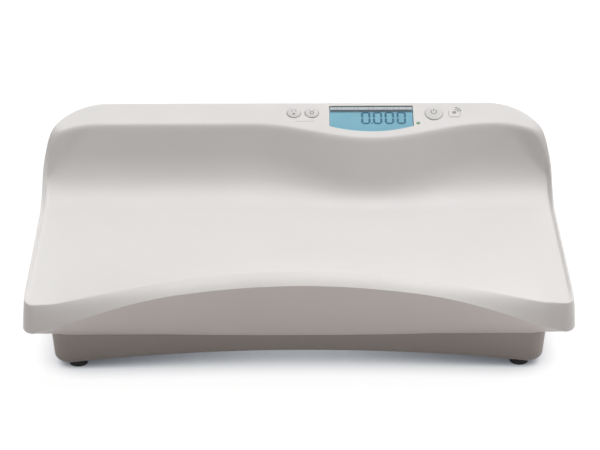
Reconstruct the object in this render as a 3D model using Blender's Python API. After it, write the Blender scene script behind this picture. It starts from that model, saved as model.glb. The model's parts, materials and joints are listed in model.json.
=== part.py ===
"""Baby scale: a moulded trough over a sensing base, with the control panel along its rear edge.

Metres, +Z up. The origin lies under the middle of the scale, level with the soles of its feet.
The front faces -Y. The panel's own pieces are placed in a tilted frame whose origin is the
panel's rear edge: x runs along the scale, y up the slope, z out of the panel.
"""

import math

import bpy
import numpy as np
from mathutils import Vector

# Overall size
WIDTH = 0.551
DEPTH = 0.320
HEIGHT = 0.179
FIT_GAP = 0.0003

# Trough: a nearly flat floor, a round hollow and a steep back wall
FLOOR_FRONT_HEIGHT = 0.0895
FLOOR_SLOPE_DEG = 2.6
HOLLOW_RADIUS = 0.090
BACK_WALL_DEG = 58.0
TRAY_WALL = 0.003
FRONT_RISE = 0.0388
FRONT_RISE_LENGTH = 0.150
FRONT_RISE_POWER = 1.6
ARCH_POWER = 1.3
ARCH_HALF_WIDTH = 0.245

# Control panel, and the swelling that carries the display
PANEL_DEG = 24.0
PANEL_DEPTH = 0.032
SWELL_X = 0.081
SWELL_HALF_WIDTH = 0.130
SWELL_REACH = 0.0194
SWELL_HOLLOW_RADIUS = 0.050
SWELL_WALL_DEG = 54.0
RIM_STEP = 0.001
RIM_CORNER_WIDTH = 0.060
RIM_CORNER_DROP = 0.030
RIM_FADE_WIDTH = 0.024

# Tray edge
REAR_CORNER_RADIUS = 0.068
FRONT_CORNER_RADIUS = 0.013
SIDE_LIP_WIDTH = 0.0035
SIDE_LIP_HEIGHT = 0.003
SIDE_LIP_REAR_EXTRA = 0.006
SIDE_LIP_FRONT_FADE = 0.045
SIDE_LIP_REAR_FADE = 0.055
EDGE_BLEND = 0.012
EDGE_ROUND = 0.0008
BAND_CORNER_RUN = 0.008
BAND_MIDDLE_RUN = 0.016
BAND_RUN_POWER = 5.0
BAND_SIDE_RUN = 0.0015
BAND_CORNER_DROP = 0.0272
BAND_MIDDLE_DROP = 0.0081
BAND_DROP_SHARES = (0.4356, 0.9619)
BAND_DROP_POWER = 1.95
BAND_REAR_DROP = 0.030
BAND_FOOT = 0.0045

# Skirt shell between tray and pan
SKIRT_STEP = 0.002
SKIRT_WALL = 0.003
SKIRT_FLANGE = 0.014
PARTING_HEIGHT = 0.042
PARTING_SIDE_INSET = 0.0222
PARTING_FRONT_INSET = 0.036
PARTING_REAR_INSET = 0.028
SKIRT_ROUND_DROP = 0.020
SKIRT_FULL_DROP = 0.070

# Pan
PAN_STEP = 0.0012
PAN_WALL = 0.0028
PAN_TAPER = 0.0025
PAN_FILLET = 0.006
PAN_RADIUS = 0.020
PAN_CLEARANCE = 0.0066
PAN_ARCH_RISE = 0.0132
PAN_ARCH_HALF_WIDTH = 0.232

# Feet and load cells
FOOT_INSET_X = 0.0265
FOOT_INSET_Y = 0.0188
FOOT_RADIUS = 0.0095
FOOT_HEIGHT = 0.006
FOOT_SOLE_CHAMFER = 0.001
FOOT_SOCKET_FLOOR = 0.003
STUD_RADIUS = 0.004
STUD_LENGTH = 0.030
STUD_CHAMFER = 0.0006
FOOT_HOLE_CLEARANCE = 0.002
CELL_BEAM_WIDTH = 0.014
CELL_BEAM_LENGTH = 0.052
CELL_BEAM_THICKNESS = 0.006
CELL_BEAM_HEIGHT = 0.022
CELL_BEAM_END = 0.008
CELL_WAIST_DEPTH = 0.003
CELL_WAIST_LENGTH = 0.014
CELL_BOSS_LENGTH = 0.013
CELL_LEAD_RADIUS = 0.0012
CELL_LEAD_SPACING = 0.018
CELL_LEAD_END = 0.012
CELL_LANE_INSET = 0.019
CELL_LANE_SPACING = 0.015

# Housing screws, their towers in the pan and their posts under the tray
TOWER_RADIUS = 0.0058
POST_RADIUS = 0.0045
TOWER_SIDE_INSET = 0.0571
TOWER_REAR_INSET = 0.0458
TOWER_FRONT_INSET = 0.0378
TOWER_MIDDLE_X = 0.075
TOWER_MIDDLE_INSET = 0.0328
TOWER_TOP = 0.0447
SCREW_SEAT = 0.005
SCREW_HEAD_RADIUS = 0.0036
SCREW_HEAD_HEIGHT = 0.0025
SCREW_SHANK_RADIUS = 0.0018
SCREW_BITE = 0.012
SCREW_CLEARANCE = 0.0004

# Batteries: two rows of three round cells in a bay that opens downwards
BATTERY_RADIUS = 0.00725
BATTERY_LENGTH = 0.0495
BATTERY_BUTTON_RADIUS = 0.0027
BATTERY_BUTTON_HEIGHT = 0.001
BATTERY_GAP = 0.0006
BATTERY_COLUMNS = 3
BATTERY_ROWS = 2
BATTERY_SIDES = 16
CONTACT_THICKNESS = 0.0006
CONTACT_BUMP = 0.0012
CONTACT_BUMP_WIDTH = 0.005
CONTACT_HEIGHT = 0.011
BAY_REAR_INSET = 0.0158
BAY_WALL = 0.002
BAY_BLOCK_MARGIN = 0.009
BAY_BLOCK_HEIGHT = 0.0055
DOOR_THICKNESS = 0.0024
DOOR_MARGIN = 0.004
DOOR_TONGUE = 0.002
DOOR_TONGUE_THICKNESS = 0.001
DOOR_GRIP_COUNT = 5
DOOR_GRIP_WIDTH = 0.018
DOOR_GRIP_PITCH = 0.0022
DOOR_GRIP_DEPTH = 0.0006

# Main board
BOARD_X = 0.105
BOARD_Y = -0.004
BOARD_WIDTH = 0.086
BOARD_DEPTH = 0.076
BOARD_THICKNESS = 0.0016
BOARD_HEIGHT = 0.028
BOARD_HOLE_INSET = 0.005
STANDOFF_RADIUS = 0.0035
BOARD_SCREW_LENGTH = 0.006
BOARD_SCREW_RADIUS = 0.0014
BOARD_SCREW_HEAD_RADIUS = 0.0027
BOARD_SCREW_HEAD_HEIGHT = 0.0018
CAN_WIDTH = 0.026
CAN_DEPTH = 0.022
CAN_HEIGHT = 0.004

# Power socket in the rear wall of the pan
SOCKET_X = 0.120
SOCKET_HEIGHT = 0.030
SOCKET_WIDTH = 0.0115
SOCKET_DEPTH = 0.014
SOCKET_BODY_HEIGHT = 0.011
SOCKET_NOSE_RADIUS = 0.0045
SOCKET_BORE_RADIUS = 0.0032
SOCKET_BORE_DEPTH = 0.0105
SOCKET_PIN_RADIUS = 0.001
SOCKET_NOSE_SINK = 0.0006

# Display stack: x along the scale, slope distance from the panel's rear edge, depth below the panel
WINDOW_X = 0.0808
WINDOW_WIDTH = 0.0905
WINDOW_TOP = 0.0072
WINDOW_SIDE_END = 0.0368
WINDOW_MIDDLE_END = 0.0446
WINDOW_FLANGE = 0.0012
WINDOW_FLANGE_THICKNESS = 0.0012
WINDOW_CUT_BACK = 0.0018
BEZEL_TOP = 0.0112
BEZEL_END = 0.0452
BEZEL_MARGIN = 0.0012
BEZEL_RIM = 0.002
BEZEL_DEPTH = 0.0060
LCD_THICKNESS = 0.0022
BACKLIGHT_THICKNESS = 0.0024
DISPLAY_BOARD_LEFT = -0.016
DISPLAY_BOARD_RIGHT = 0.156
DISPLAY_BOARD_TOP = 0.0135
DISPLAY_BOARD_END = 0.0440
DISPLAY_BOARD_THICKNESS = 0.0016

# Keys and the mains light
KEY_SLOPE = 0.0170
HOLD_KEY_X = -0.0034
TARE_KEY_X = 0.0161
KEY_RADIUS = 0.0075
POWER_KEY_X = 0.1490
POWER_KEY_SLOPE = 0.0186
POWER_KEY_RADIUS = 0.0097
KEY_CROWN = 0.0005
KEY_PROUD = 0.0008
KEY_FLANGE = 0.0010
KEY_FLANGE_THICKNESS = 0.0010
KEY_STEM_RADIUS = 0.0030
KEY_STEM_LENGTH = 0.0008
KEY_TRAVEL = 0.0006
MAT_MARGIN = 0.0015
MAT_BASE_THICKNESS = 0.0015
LIGHT_X = 0.1314
LIGHT_SLOPE = 0.0330
LIGHT_RADIUS = 0.0018
LIGHT_FOOT_RADIUS = 0.0025
LIGHT_FOOT_HEIGHT = 0.002

# Screws that hold the display board to posts under the panel
DISPLAY_POST_RADIUS = 0.0026
DISPLAY_POST_INSET = 0.0040
DISPLAY_POST_SLOPE = 0.0340
DISPLAY_SCREW_LENGTH = 0.0060

# Ribbon cable between the two boards
RIBBON_WIDTH = 0.012
RIBBON_THICKNESS = 0.0008
RIBBON_X = 0.075
RIBBON_END_SLOPE = 0.030
RIBBON_POINTS = 14

# One overrun serves every cut
CUT = 0.002
SMOOTH_DEG = 35.0
ROUND_SIDES = 24
SMALL_SIDES = 12

# Mesh steps along and across the tray
MIDDLE_STEPS = 22
CORNER_SHARES = (0.17, 0.34, 0.50, 0.64)
FLOOR_SHARES = (0.0, 0.021, 0.046, 0.12, 0.23, 0.36, 0.50, 0.65, 0.82)
HOLLOW_STEPS = 8
RIM_SHARES = (0.33, 0.68, 0.94, 1.0)
BAND_SHARES = ((0.0, 0.0), (0.30, 0.21), (0.75, 0.67), (1.0, 1.0))
SKIRT_SHARES = ((0.0, 0.0), (0.22, 0.42), (0.45, 0.74), (0.72, 0.92), (1.0, 1.0))
PAN_MIDDLE_STEPS = 12
PAN_CORNER_STEPS = 5

HALF = WIDTH / 2
FRONT = -DEPTH / 2
REAR = DEPTH / 2
PANEL = math.radians(PANEL_DEG)
PANEL_REAR_Z = HEIGHT + BAND_SIDE_RUN * math.tan(PANEL) + EDGE_ROUND
PARTING_RADIUS = PAN_RADIUS + PAN_STEP


# Materials

def material(name, color, roughness, metallic=0.0, transmission=0.0):
    made = bpy.data.materials.new(name)
    made.use_nodes = True
    shader = made.node_tree.nodes["Principled BSDF"]
    shader.inputs["Base Color"].default_value = (*color, 1.0)
    shader.inputs["Roughness"].default_value = roughness
    shader.inputs["Metallic"].default_value = metallic
    shader.inputs["Transmission Weight"].default_value = transmission
    made.diffuse_color = (*color, 1.0)
    return made


def make_materials():
    return {
        "tray": material("tray_white", (0.80, 0.79, 0.78), 0.45),
        "skirt": material("skirt_white", (0.72, 0.71, 0.70), 0.50),
        "pan": material("pan_grey", (0.42, 0.41, 0.41), 0.55),
        "key": material("key_white", (0.78, 0.78, 0.78), 0.50),
        "window": material("window_clear", (0.90, 0.93, 0.95), 0.05, 0.0, 0.9),
        "lcd": material("lcd_blue", (0.25, 0.50, 0.62), 0.20),
        "frame": material("display_frame_grey", (0.30, 0.32, 0.34), 0.50),
        "glow": material("backlight_white", (0.85, 0.90, 0.92), 0.40),
        "light": material("mains_green", (0.05, 0.25, 0.06), 0.20),
        "rubber": material("foot_rubber", (0.03, 0.03, 0.035), 0.85),
        "mat": material("silicone_grey", (0.45, 0.45, 0.45), 0.70),
        "steel": material("zinc_steel", (0.62, 0.62, 0.63), 0.35, 1.0),
        "aluminium": material("cell_aluminium", (0.70, 0.71, 0.72), 0.40, 1.0),
        "board": material("board_green", (0.03, 0.17, 0.07), 0.45),
        "battery": material("battery_sleeve", (0.08, 0.09, 0.11), 0.40),
        "socket": material("socket_black", (0.02, 0.02, 0.02), 0.45),
        "wire": material("wire_grey", (0.30, 0.30, 0.31), 0.55),
    }


# Meshes

def add_object(name, verts, faces, look, place=None):
    """One named object from points and faces, in the world or under an empty."""
    mesh = bpy.data.meshes.new(name)
    mesh.from_pydata([tuple(float(c) for c in v) for v in verts], [], faces)
    mesh.update()
    mesh.shade_smooth()
    mesh.set_sharp_from_angle(angle=math.radians(SMOOTH_DEG))
    made = bpy.data.objects.new(name, mesh)
    bpy.context.scene.collection.objects.link(made)
    if look is not None:
        made.data.materials.append(look)
    if place is not None:
        made.parent = place
    return made


def joined(*pieces):
    """Points and faces of several closed pieces as one list."""
    verts = []
    faces = []
    for piece_verts, piece_faces in pieces:
        start = len(verts)
        verts.extend(piece_verts)
        faces.extend([tuple(start + i for i in face) for face in piece_faces])
    return verts, faces


def prism(outline, low, high):
    """A closed prism over a counter-clockwise outline of (x, y) points."""
    n = len(outline)
    verts = [(x, y, low) for x, y in outline] + [(x, y, high) for x, y in outline]
    faces = [tuple(reversed(range(n))), tuple(range(n, 2 * n))]
    faces += [(i, (i + 1) % n, n + (i + 1) % n, n + i) for i in range(n)]
    return verts, faces


def box(low, high):
    outline = [(low[0], low[1]), (high[0], low[1]), (high[0], high[1]), (low[0], high[1])]
    return prism(outline, low[2], high[2])


def turned(profile, sides, center=(0.0, 0.0)):
    """A closed turned solid: profile runs from its lowest axis point up its outside to its highest."""
    verts = []
    rings = []
    for radius, z in profile:
        if radius == 0:
            rings.append([len(verts)])
            verts.append((center[0], center[1], z))
        else:
            rings.append([len(verts) + k for k in range(sides)])
            for k in range(sides):
                turn = 2 * math.pi * k / sides
                verts.append((center[0] + radius * math.cos(turn), center[1] + radius * math.sin(turn), z))
    faces = []
    for lower, upper in zip(rings, rings[1:]):
        for k in range(sides):
            nxt = (k + 1) % sides
            if len(lower) == 1:
                faces.append((lower[0], upper[nxt], upper[k]))
            elif len(upper) == 1:
                faces.append((lower[k], lower[nxt], upper[0]))
            else:
                faces.append((lower[k], lower[nxt], upper[nxt], upper[k]))
    return verts, faces


def rod(radius, low, high, sides, center=(0.0, 0.0)):
    return turned([(0, low), (radius, low), (radius, high), (0, high)], sides, center)


def cut_or_join(target, operation, name, pieces):
    """Adds or removes closed pieces, kept as a wire guide beside the object that they shape."""
    guide = add_object(name, *joined(*pieces), None, target.parent)
    guide.hide_render = True
    guide.display_type = "WIRE"
    step = target.modifiers.new(name, "BOOLEAN")
    step.operation = operation
    step.solver = "EXACT"
    step.object = guide
    return guide


# Tray surface

def soft_step(t):
    t = np.clip(t, 0.0, 1.0)
    return t * t * (3 - 2 * t)


def swell(x):
    """How far the display's swelling has grown at x, from 0 to 1."""
    return 0.5 * (1 + np.cos(np.pi * np.clip((x - SWELL_X) / SWELL_HALF_WIDTH, -1, 1)))


def arch(x):
    """Rise of the front edge along the scale, from 0 at the corners to 1 in the middle."""
    return (1 - np.clip(x / ARCH_HALF_WIDTH, -1, 1) ** 2) ** ARCH_POWER


def panel_z(y):
    return PANEL_REAR_Z - (REAR - y) * math.tan(PANEL)


def hollow(x):
    """Start and end of the round hollow at x, its radius and centre, and the wall's slope."""
    grown = swell(x)
    top_y = REAR - PANEL_DEPTH - SWELL_REACH * grown
    top_z = panel_z(top_y)
    wall = np.radians(BACK_WALL_DEG + (SWELL_WALL_DEG - BACK_WALL_DEG) * grown)
    radius = HOLLOW_RADIUS + (SWELL_HOLLOW_RADIUS - HOLLOW_RADIUS) * grown
    floor = math.radians(FLOOR_SLOPE_DEG)
    lift = FLOOR_FRONT_HEIGHT - FRONT * math.tan(floor)
    cross_y = (lift - top_z + top_y * np.tan(wall)) / (np.tan(wall) - math.tan(floor))
    tangent = radius * np.tan((wall - floor) / 2)
    start = cross_y - tangent * math.cos(floor)
    end = cross_y + tangent * np.cos(wall)
    center_y = start - radius * math.sin(floor)
    center_z = lift + start * math.tan(floor) + radius * math.cos(floor)
    return start, end, radius, center_y, center_z, wall, top_y, top_z


def trough_z(x, y):
    start, end, radius, center_y, center_z, wall, top_y, top_z = hollow(x)
    floor = FLOOR_FRONT_HEIGHT + (y - FRONT) * math.tan(math.radians(FLOOR_SLOPE_DEG))
    steep = top_z + (y - top_y) * np.tan(wall)
    round_part = center_z - np.sqrt(np.maximum(radius**2 - (y - center_y) ** 2, 0))
    z = np.where(y < start, floor, np.where(y > end, steep, round_part))
    toward_front = np.clip((FRONT + FRONT_RISE_LENGTH - y) / FRONT_RISE_LENGTH, 0, 1)
    return z + FRONT_RISE * arch(x) * toward_front**FRONT_RISE_POWER


def rim_inner(x):
    """Where the panel's inner edge runs at x: straight, out over the swelling, forward at the corners."""
    across = np.clip((np.abs(x) - (HALF - RIM_CORNER_WIDTH)) / (RIM_CORNER_WIDTH - SIDE_LIP_WIDTH), 0, 1)
    return REAR - PANEL_DEPTH - SWELL_REACH * swell(x) - RIM_CORNER_DROP * (1 - np.sqrt(1 - across**2))


def edge_z(y):
    """Height of the tray's outer edge along its sides: a low lip over the trough, up to the panel."""
    front_fade = soft_step((y - FRONT) / SIDE_LIP_FRONT_FADE)
    rear_fade = soft_step((y - (rim_inner(HALF) - SIDE_LIP_REAR_FADE)) / SIDE_LIP_REAR_FADE)
    side = trough_z(HALF, y) + SIDE_LIP_HEIGHT * front_fade + SIDE_LIP_REAR_EXTRA * rear_fade
    level = np.where(y > 0, panel_z(y), side + EDGE_BLEND)
    near = np.maximum(EDGE_BLEND - np.abs(side - level), 0)
    return np.minimum(side, level) - near**2 / (4 * EDGE_BLEND)


def rim_z(x, y):
    fade = soft_step((np.abs(x) - (HALF - RIM_FADE_WIDTH)) / (RIM_FADE_WIDTH - SIDE_LIP_WIDTH))
    return panel_z(y) + (edge_z(y) - panel_z(y)) * fade


def tray_z(x, y):
    z = np.where(y > rim_inner(x), rim_z(x, y), trough_z(x, y))
    return np.where(np.abs(x) > HALF - SIDE_LIP_WIDTH, edge_z(y), z)


def under_z(x, y):
    """Underside of the tray: its wall's thickness away from the top in every direction."""
    lowest = tray_z(x, y) - TRAY_WALL
    for share in (0.5, 0.95):
        reach = TRAY_WALL * share
        drop = math.sqrt(TRAY_WALL**2 - reach**2)
        for k in range(SMALL_SIDES):
            turn = 2 * math.pi * k / SMALL_SIDES
            near_x = np.clip(x + reach * math.cos(turn), -HALF, HALF)
            lowest = np.minimum(lowest, tray_z(near_x, y + reach * math.sin(turn)) - drop)
    return lowest


# Rounded plan outlines, all with the same count of points

def corner_angles():
    """Places of the tray's columns round a rear corner; the last ones carry the side lip."""
    radius = REAR_CORNER_RADIUS
    lip = [radius - 1.4 * SIDE_LIP_WIDTH, radius - SIDE_LIP_WIDTH]
    bend = [math.pi / 2 * share for share in CORNER_SHARES]
    return bend + [math.asin(r / radius) for r in lip] + [math.pi / 2]


def column_places(half, radius):
    straight = np.linspace(0, half - radius, MIDDLE_STEPS // 2 + 1)
    bent = [half - radius + radius * math.sin(angle) for angle in corner_angles()]
    right = np.concatenate([straight, bent])
    return np.concatenate([-right[:0:-1], right])


def drawn_back(x, half, radius):
    """How far a rounded corner draws an edge back at x."""
    over = np.clip(np.abs(x) - (half - radius), 0, radius)
    return radius - np.sqrt(radius**2 - over**2)


SIDE_ROWS = len(FLOOR_SHARES) + HOLLOW_STEPS + 2 + len(RIM_SHARES)
CORNER_TURN = math.cos(math.pi / 4)


def drawn_in(x, squeeze, half, front_radius):
    """Columns near a front corner, moved in so that its last one meets the corner's arc."""
    flat = half - front_radius
    over = np.maximum(np.abs(x) - flat, 0)
    return np.sign(x) * (np.minimum(np.abs(x), flat) + over * squeeze)


def corner_squeeze(y, front, front_radius):
    """Share of the corner's radius that is left at y, from the middle of its arc rearwards."""
    short = np.clip(front + front_radius - y, 0, front_radius)
    return np.sqrt(front_radius**2 - short**2) / front_radius


def column_rows(at, half, front, rear, front_radius, rear_radius, rim_shift):
    """Where each row crosses one column of the tray."""
    near = float(drawn_in(at, CORNER_TURN, half, front_radius))
    first = front + float(drawn_back(near, half, front_radius))
    last = rear - float(drawn_back(at, half, rear_radius))
    start = float(hollow(at)[0])
    inner = min(float(rim_inner(at)) + rim_shift, last - 2 * SIDE_LIP_WIDTH)
    rows = [first + (start - first) * share for share in FLOOR_SHARES]
    rows += [start + (inner - start) * k / HOLLOW_STEPS for k in range(HOLLOW_STEPS + 1)]
    rows += [inner + RIM_STEP]
    rows += [inner + RIM_STEP + (last - inner - RIM_STEP) * share for share in RIM_SHARES]
    return np.array(rows)


def side_shares():
    """How the rows divide the tray's side edge between its two corners."""
    rows = column_rows(HALF - BAND_SIDE_RUN, HALF - BAND_SIDE_RUN, front_edge(HALF), REAR - BAND_SIDE_RUN,
                       FRONT_CORNER_RADIUS, REAR_CORNER_RADIUS, 0.0)
    return (rows - rows[0]) / (rows[-1] - rows[0])


def plan_ring(half, front, rear, front_radius, rear_radius):
    """Counter-clockwise points of a rounded outline, front row first."""
    x = column_places(half, rear_radius)
    near = drawn_in(x, CORNER_TURN, half, front_radius)
    front_row = np.column_stack([near, front + drawn_back(near, half, front_radius)])
    rear_row = np.column_stack([x, rear - drawn_back(x, half, rear_radius)])[::-1]
    low = front + (1 - CORNER_TURN) * front_radius
    high = rear - rear_radius
    side_y = low + (high - low) * side_shares()[1:-1]
    side_x = half - front_radius + front_radius * corner_squeeze(side_y, front, front_radius)
    right = np.column_stack([side_x, side_y])
    left = np.column_stack([-side_x, side_y])[::-1]
    return np.concatenate([front_row, right, rear_row, left])


def tray_grid(half, front, rear, front_radius, rear_radius, rim_shift, height):
    """Columns whose rows follow the trough, the panel's inner edge and the outline."""
    x = column_places(half, rear_radius)
    end_rows = column_rows(half, half, front(half), rear, front_radius, rear_radius, rim_shift)
    squeeze = corner_squeeze(end_rows, front(half), front_radius)
    points = np.zeros((len(x), SIDE_ROWS, 3))
    for i, at in enumerate(x):
        points[i, :, 0] = [float(drawn_in(at, share, half, front_radius)) for share in squeeze]
        points[i, :, 1] = column_rows(at, half, front(at), rear, front_radius, rear_radius, rim_shift)
        points[i, :, 2] = height(points[i, :, 0], points[i, :, 1])
    return points


def grid_edge(points):
    """The grid's border in the order of plan_ring."""
    right = points[-1, 1:-1]
    left = points[0, 1:-1][::-1]
    return np.concatenate([points[:, 0], right, points[::-1, -1], left])


def front_edge(x):
    across = abs(x) / HALF
    return FRONT + BAND_CORNER_RUN + (BAND_MIDDLE_RUN - BAND_CORNER_RUN) * (1 - across**BAND_RUN_POWER)


def band_drops():
    """Height of the tray's outer band at each point round the edge."""
    x = column_places(HALF, REAR_CORNER_RADIUS)
    start, end = BAND_DROP_SHARES
    over = np.clip((np.abs(x) / HALF - start) / (end - start), 0, 1)
    front_row = BAND_MIDDLE_DROP + (BAND_CORNER_DROP - BAND_MIDDLE_DROP) * over**BAND_DROP_POWER
    side = BAND_CORNER_DROP + (BAND_REAR_DROP - BAND_CORNER_DROP) * side_shares()[1:-1]
    rear_row = np.full(len(x), BAND_REAR_DROP)
    return np.concatenate([front_row, side, rear_row, side[::-1]])


def top_grid():
    grid = tray_grid(HALF - BAND_SIDE_RUN, front_edge, REAR - BAND_SIDE_RUN,
                     FRONT_CORNER_RADIUS, REAR_CORNER_RADIUS, 0.0, tray_z)
    grid[:, 0, 2] -= EDGE_ROUND
    grid[:, -1, 2] -= EDGE_ROUND
    grid[0, 1:-1, 2] -= EDGE_ROUND
    grid[-1, 1:-1, 2] -= EDGE_ROUND
    return grid


def band_foot_ring(inset):
    """The plan outline of the tray's lower edge, drawn in by inset."""
    return plan_ring(HALF - inset, FRONT + inset, REAR - inset, FRONT_CORNER_RADIUS, REAR_CORNER_RADIUS)


def band_foot_heights():
    return grid_edge(top_grid())[:, 2] - band_drops()


def with_z(ring, z):
    return np.column_stack([ring, np.broadcast_to(z, len(ring))])


def bridge(rings, start=0):
    """Faces between rings of equal length, each ring outside or below the one before."""
    n = len(rings[0])
    faces = []
    for r in range(len(rings) - 1):
        upper = start + r * n
        lower = upper + n
        faces += [(upper + p, lower + p, lower + (p + 1) % n, upper + (p + 1) % n) for p in range(n)]
    return faces


def grid_faces(columns, rows, index, flip):
    faces = []
    for i in range(columns - 1):
        for j in range(rows - 1):
            face = (index(i, j), index(i + 1, j), index(i + 1, j + 1), index(i, j + 1))
            faces.append(face[::-1] if flip else face)
    return faces


def border_index(columns, rows):
    """Maps each grid cell on the border to its place in plan_ring's order."""
    order = [(i, 0) for i in range(columns)]
    order += [(columns - 1, j) for j in range(1, rows - 1)]
    order += [(i, rows - 1) for i in reversed(range(columns))]
    order += [(0, j) for j in reversed(range(1, rows - 1))]
    return {cell: place for place, cell in enumerate(order)}


def capped_shell(outer, rings, inner):
    """A closed shell: outer grid, rings down and round its edge, and inner grid on the way back."""
    columns, rows = outer.shape[:2]
    border = border_index(columns, rows)
    stack = [grid_edge(outer)] + rings + [grid_edge(inner)]
    verts = [tuple(v) for ring in stack for v in ring]
    faces = bridge(stack)
    count = len(stack[0])
    for grid, first, flip in ((outer, 0, False), (inner, (len(stack) - 1) * count, True)):
        places = {cell: first + place for cell, place in border.items()}
        for i in range(1, columns - 1):
            for j in range(1, rows - 1):
                places[(i, j)] = len(verts)
                verts.append(tuple(grid[i, j]))
        faces += grid_faces(columns, rows, lambda i, j: places[(i, j)], flip)
    return verts, faces


def tray_solid():
    outer = top_grid()
    edge = grid_edge(outer)
    wide = band_foot_ring(0.0)
    drops = band_drops()
    band = []
    for out_share, down_share in BAND_SHARES[1:]:
        flat = edge[:, :2] + (wide - edge[:, :2]) * out_share
        band.append(with_z(flat, edge[:, 2] - drops * down_share))
    band.append(with_z(band_foot_ring(BAND_FOOT), edge[:, 2] - drops))
    inner = tray_grid(HALF - BAND_FOOT, lambda x: front_edge(x) + BAND_FOOT, REAR - BAND_FOOT,
                      FRONT_CORNER_RADIUS, REAR_CORNER_RADIUS, TRAY_WALL, under_z)
    return capped_shell(outer, band, inner)


# Skirt shell

def mixed_ring(share, inset):
    """The skirt's outline, from the tray's lower edge at share 0 to the parting line at share 1."""
    def mix(top, bottom):
        return top + (bottom - top) * share
    return plan_ring(
        HALF - mix(SKIRT_STEP, PARTING_SIDE_INSET) - inset,
        FRONT + mix(SKIRT_STEP, PARTING_FRONT_INSET) + inset,
        REAR - mix(SKIRT_STEP, PARTING_REAR_INSET) - inset,
        mix(FRONT_CORNER_RADIUS, PARTING_RADIUS),
        mix(REAR_CORNER_RADIUS, PARTING_RADIUS),
    )


def skirt_side(top, low, inset):
    """Rings from the band down to the parting line, straight at a short drop and bellied at a tall one."""
    belly = np.clip((top - low - SKIRT_ROUND_DROP) / (SKIRT_FULL_DROP - SKIRT_ROUND_DROP), 0, 1)
    return [with_z(mixed_ring(out, inset), top + (low - top) * (out + (down - out) * belly))
            for out, down in SKIRT_SHARES]


def skirt_solid():
    top = band_foot_heights() - FIT_GAP
    low = PARTING_HEIGHT + FIT_GAP / 2
    outer = skirt_side(top, low, 0.0)
    flange_ring = mixed_ring(1.0, SKIRT_FLANGE)
    flange = [with_z(flange_ring, low), with_z(flange_ring, low + SKIRT_WALL)]
    inner = skirt_side(top, low + SKIRT_WALL, SKIRT_WALL)
    stack = outer + flange + inner[::-1]
    count = len(stack[0])
    verts = [tuple(v) for ring in stack for v in ring]
    faces = bridge(stack)
    last = (len(stack) - 1) * count
    faces += [(last + p, p, (p + 1) % count, last + (p + 1) % count) for p in range(count)]
    return verts, faces


# Pan

def pan_bottom(x):
    return PAN_CLEARANCE + PAN_ARCH_RISE * np.clip(1 - (np.asarray(x) / PAN_ARCH_HALF_WIDTH) ** 2, 0, 1)


PAN_HALF = HALF - PARTING_SIDE_INSET - PAN_STEP
PAN_FRONT = FRONT + PARTING_FRONT_INSET + PAN_STEP
PAN_REAR = REAR - PARTING_REAR_INSET - PAN_STEP


def pan_ring(inset, height):
    """Points of the pan's outline in pairs of equal x: a front row, then the rear row backwards."""
    half = PAN_HALF - inset
    radius = PAN_RADIUS - inset
    straight = np.linspace(0, half - radius, PAN_MIDDLE_STEPS // 2 + 1)
    bent = [half - radius + radius * math.sin(math.pi / 2 * k / PAN_CORNER_STEPS)
            for k in range(1, PAN_CORNER_STEPS + 1)]
    right = np.concatenate([straight, bent])
    x = np.concatenate([-right[:0:-1], right])
    back = drawn_back(x, half, radius)
    front_row = np.column_stack([x, PAN_FRONT + inset + back])
    rear_row = np.column_stack([x, PAN_REAR - inset - back])[::-1]
    ring = np.concatenate([front_row, rear_row])
    return with_z(ring, height(ring[:, 0]))


def pan_solid():
    top = PARTING_HEIGHT - FIT_GAP / 2
    foot = PAN_TAPER + PAN_FILLET
    bend = PAN_FILLET * (1 - math.cos(math.pi / 4))
    outer = [
        pan_ring(0.0, lambda x: np.full(len(x), top)),
        pan_ring(PAN_TAPER, lambda x: pan_bottom(x) + PAN_FILLET),
        pan_ring(PAN_TAPER + bend, lambda x: pan_bottom(x) + bend),
        pan_ring(foot, pan_bottom),
    ]
    inner = [
        pan_ring(foot, lambda x: pan_bottom(x) + PAN_WALL),
        pan_ring(PAN_TAPER + bend + PAN_WALL, lambda x: pan_bottom(x) + bend + PAN_WALL * 0.6),
        pan_ring(PAN_TAPER + PAN_WALL, lambda x: pan_bottom(x) + PAN_FILLET + PAN_WALL * 0.2),
        pan_ring(PAN_WALL, lambda x: np.full(len(x), top)),
    ]
    count = len(outer[0])
    half_count = count // 2
    verts = [tuple(v) for ring in outer + inner for v in ring]
    faces = bridge(outer)
    faces += bridge(inner, len(outer) * count)
    rim = (len(outer) + len(inner) - 1) * count
    faces += [(rim + p, p, (p + 1) % count, rim + (p + 1) % count) for p in range(count)]
    for first, flip in (((len(outer) - 1) * count, True), (len(outer) * count, False)):
        for i in range(half_count - 1):
            face = (first + i, first + i + 1, first + count - 2 - i, first + count - 1 - i)
            faces.append(face[::-1] if flip else face)
    return verts, faces


# Places shared by several pieces

FEET = {
    "fl": (-1, -1),
    "fr": (1, -1),
    "rl": (-1, 1),
    "rr": (1, 1),
}


def foot_place(corner):
    side, end = FEET[corner]
    y = PAN_FRONT + FOOT_INSET_Y if end < 0 else PAN_REAR - FOOT_INSET_Y
    return side * (PAN_HALF - FOOT_INSET_X), y


def cell_fixed_place(corner):
    """Middle of the load cell's screwed end."""
    x, y = foot_place(corner)
    end = FEET[corner][1]
    return x, y - end * (CELL_BEAM_LENGTH - 2 * CELL_BEAM_END)


def tower_places():
    """One tower near each corner and two in the middle of the front."""
    ends = (PAN_FRONT + TOWER_FRONT_INSET, PAN_REAR - TOWER_REAR_INSET)
    places = [(side * (PAN_HALF - TOWER_SIDE_INSET), y) for side in (-1, 1) for y in ends]
    return places + [(side * TOWER_MIDDLE_X, PAN_FRONT + TOWER_MIDDLE_INSET) for side in (-1, 1)]


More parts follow.
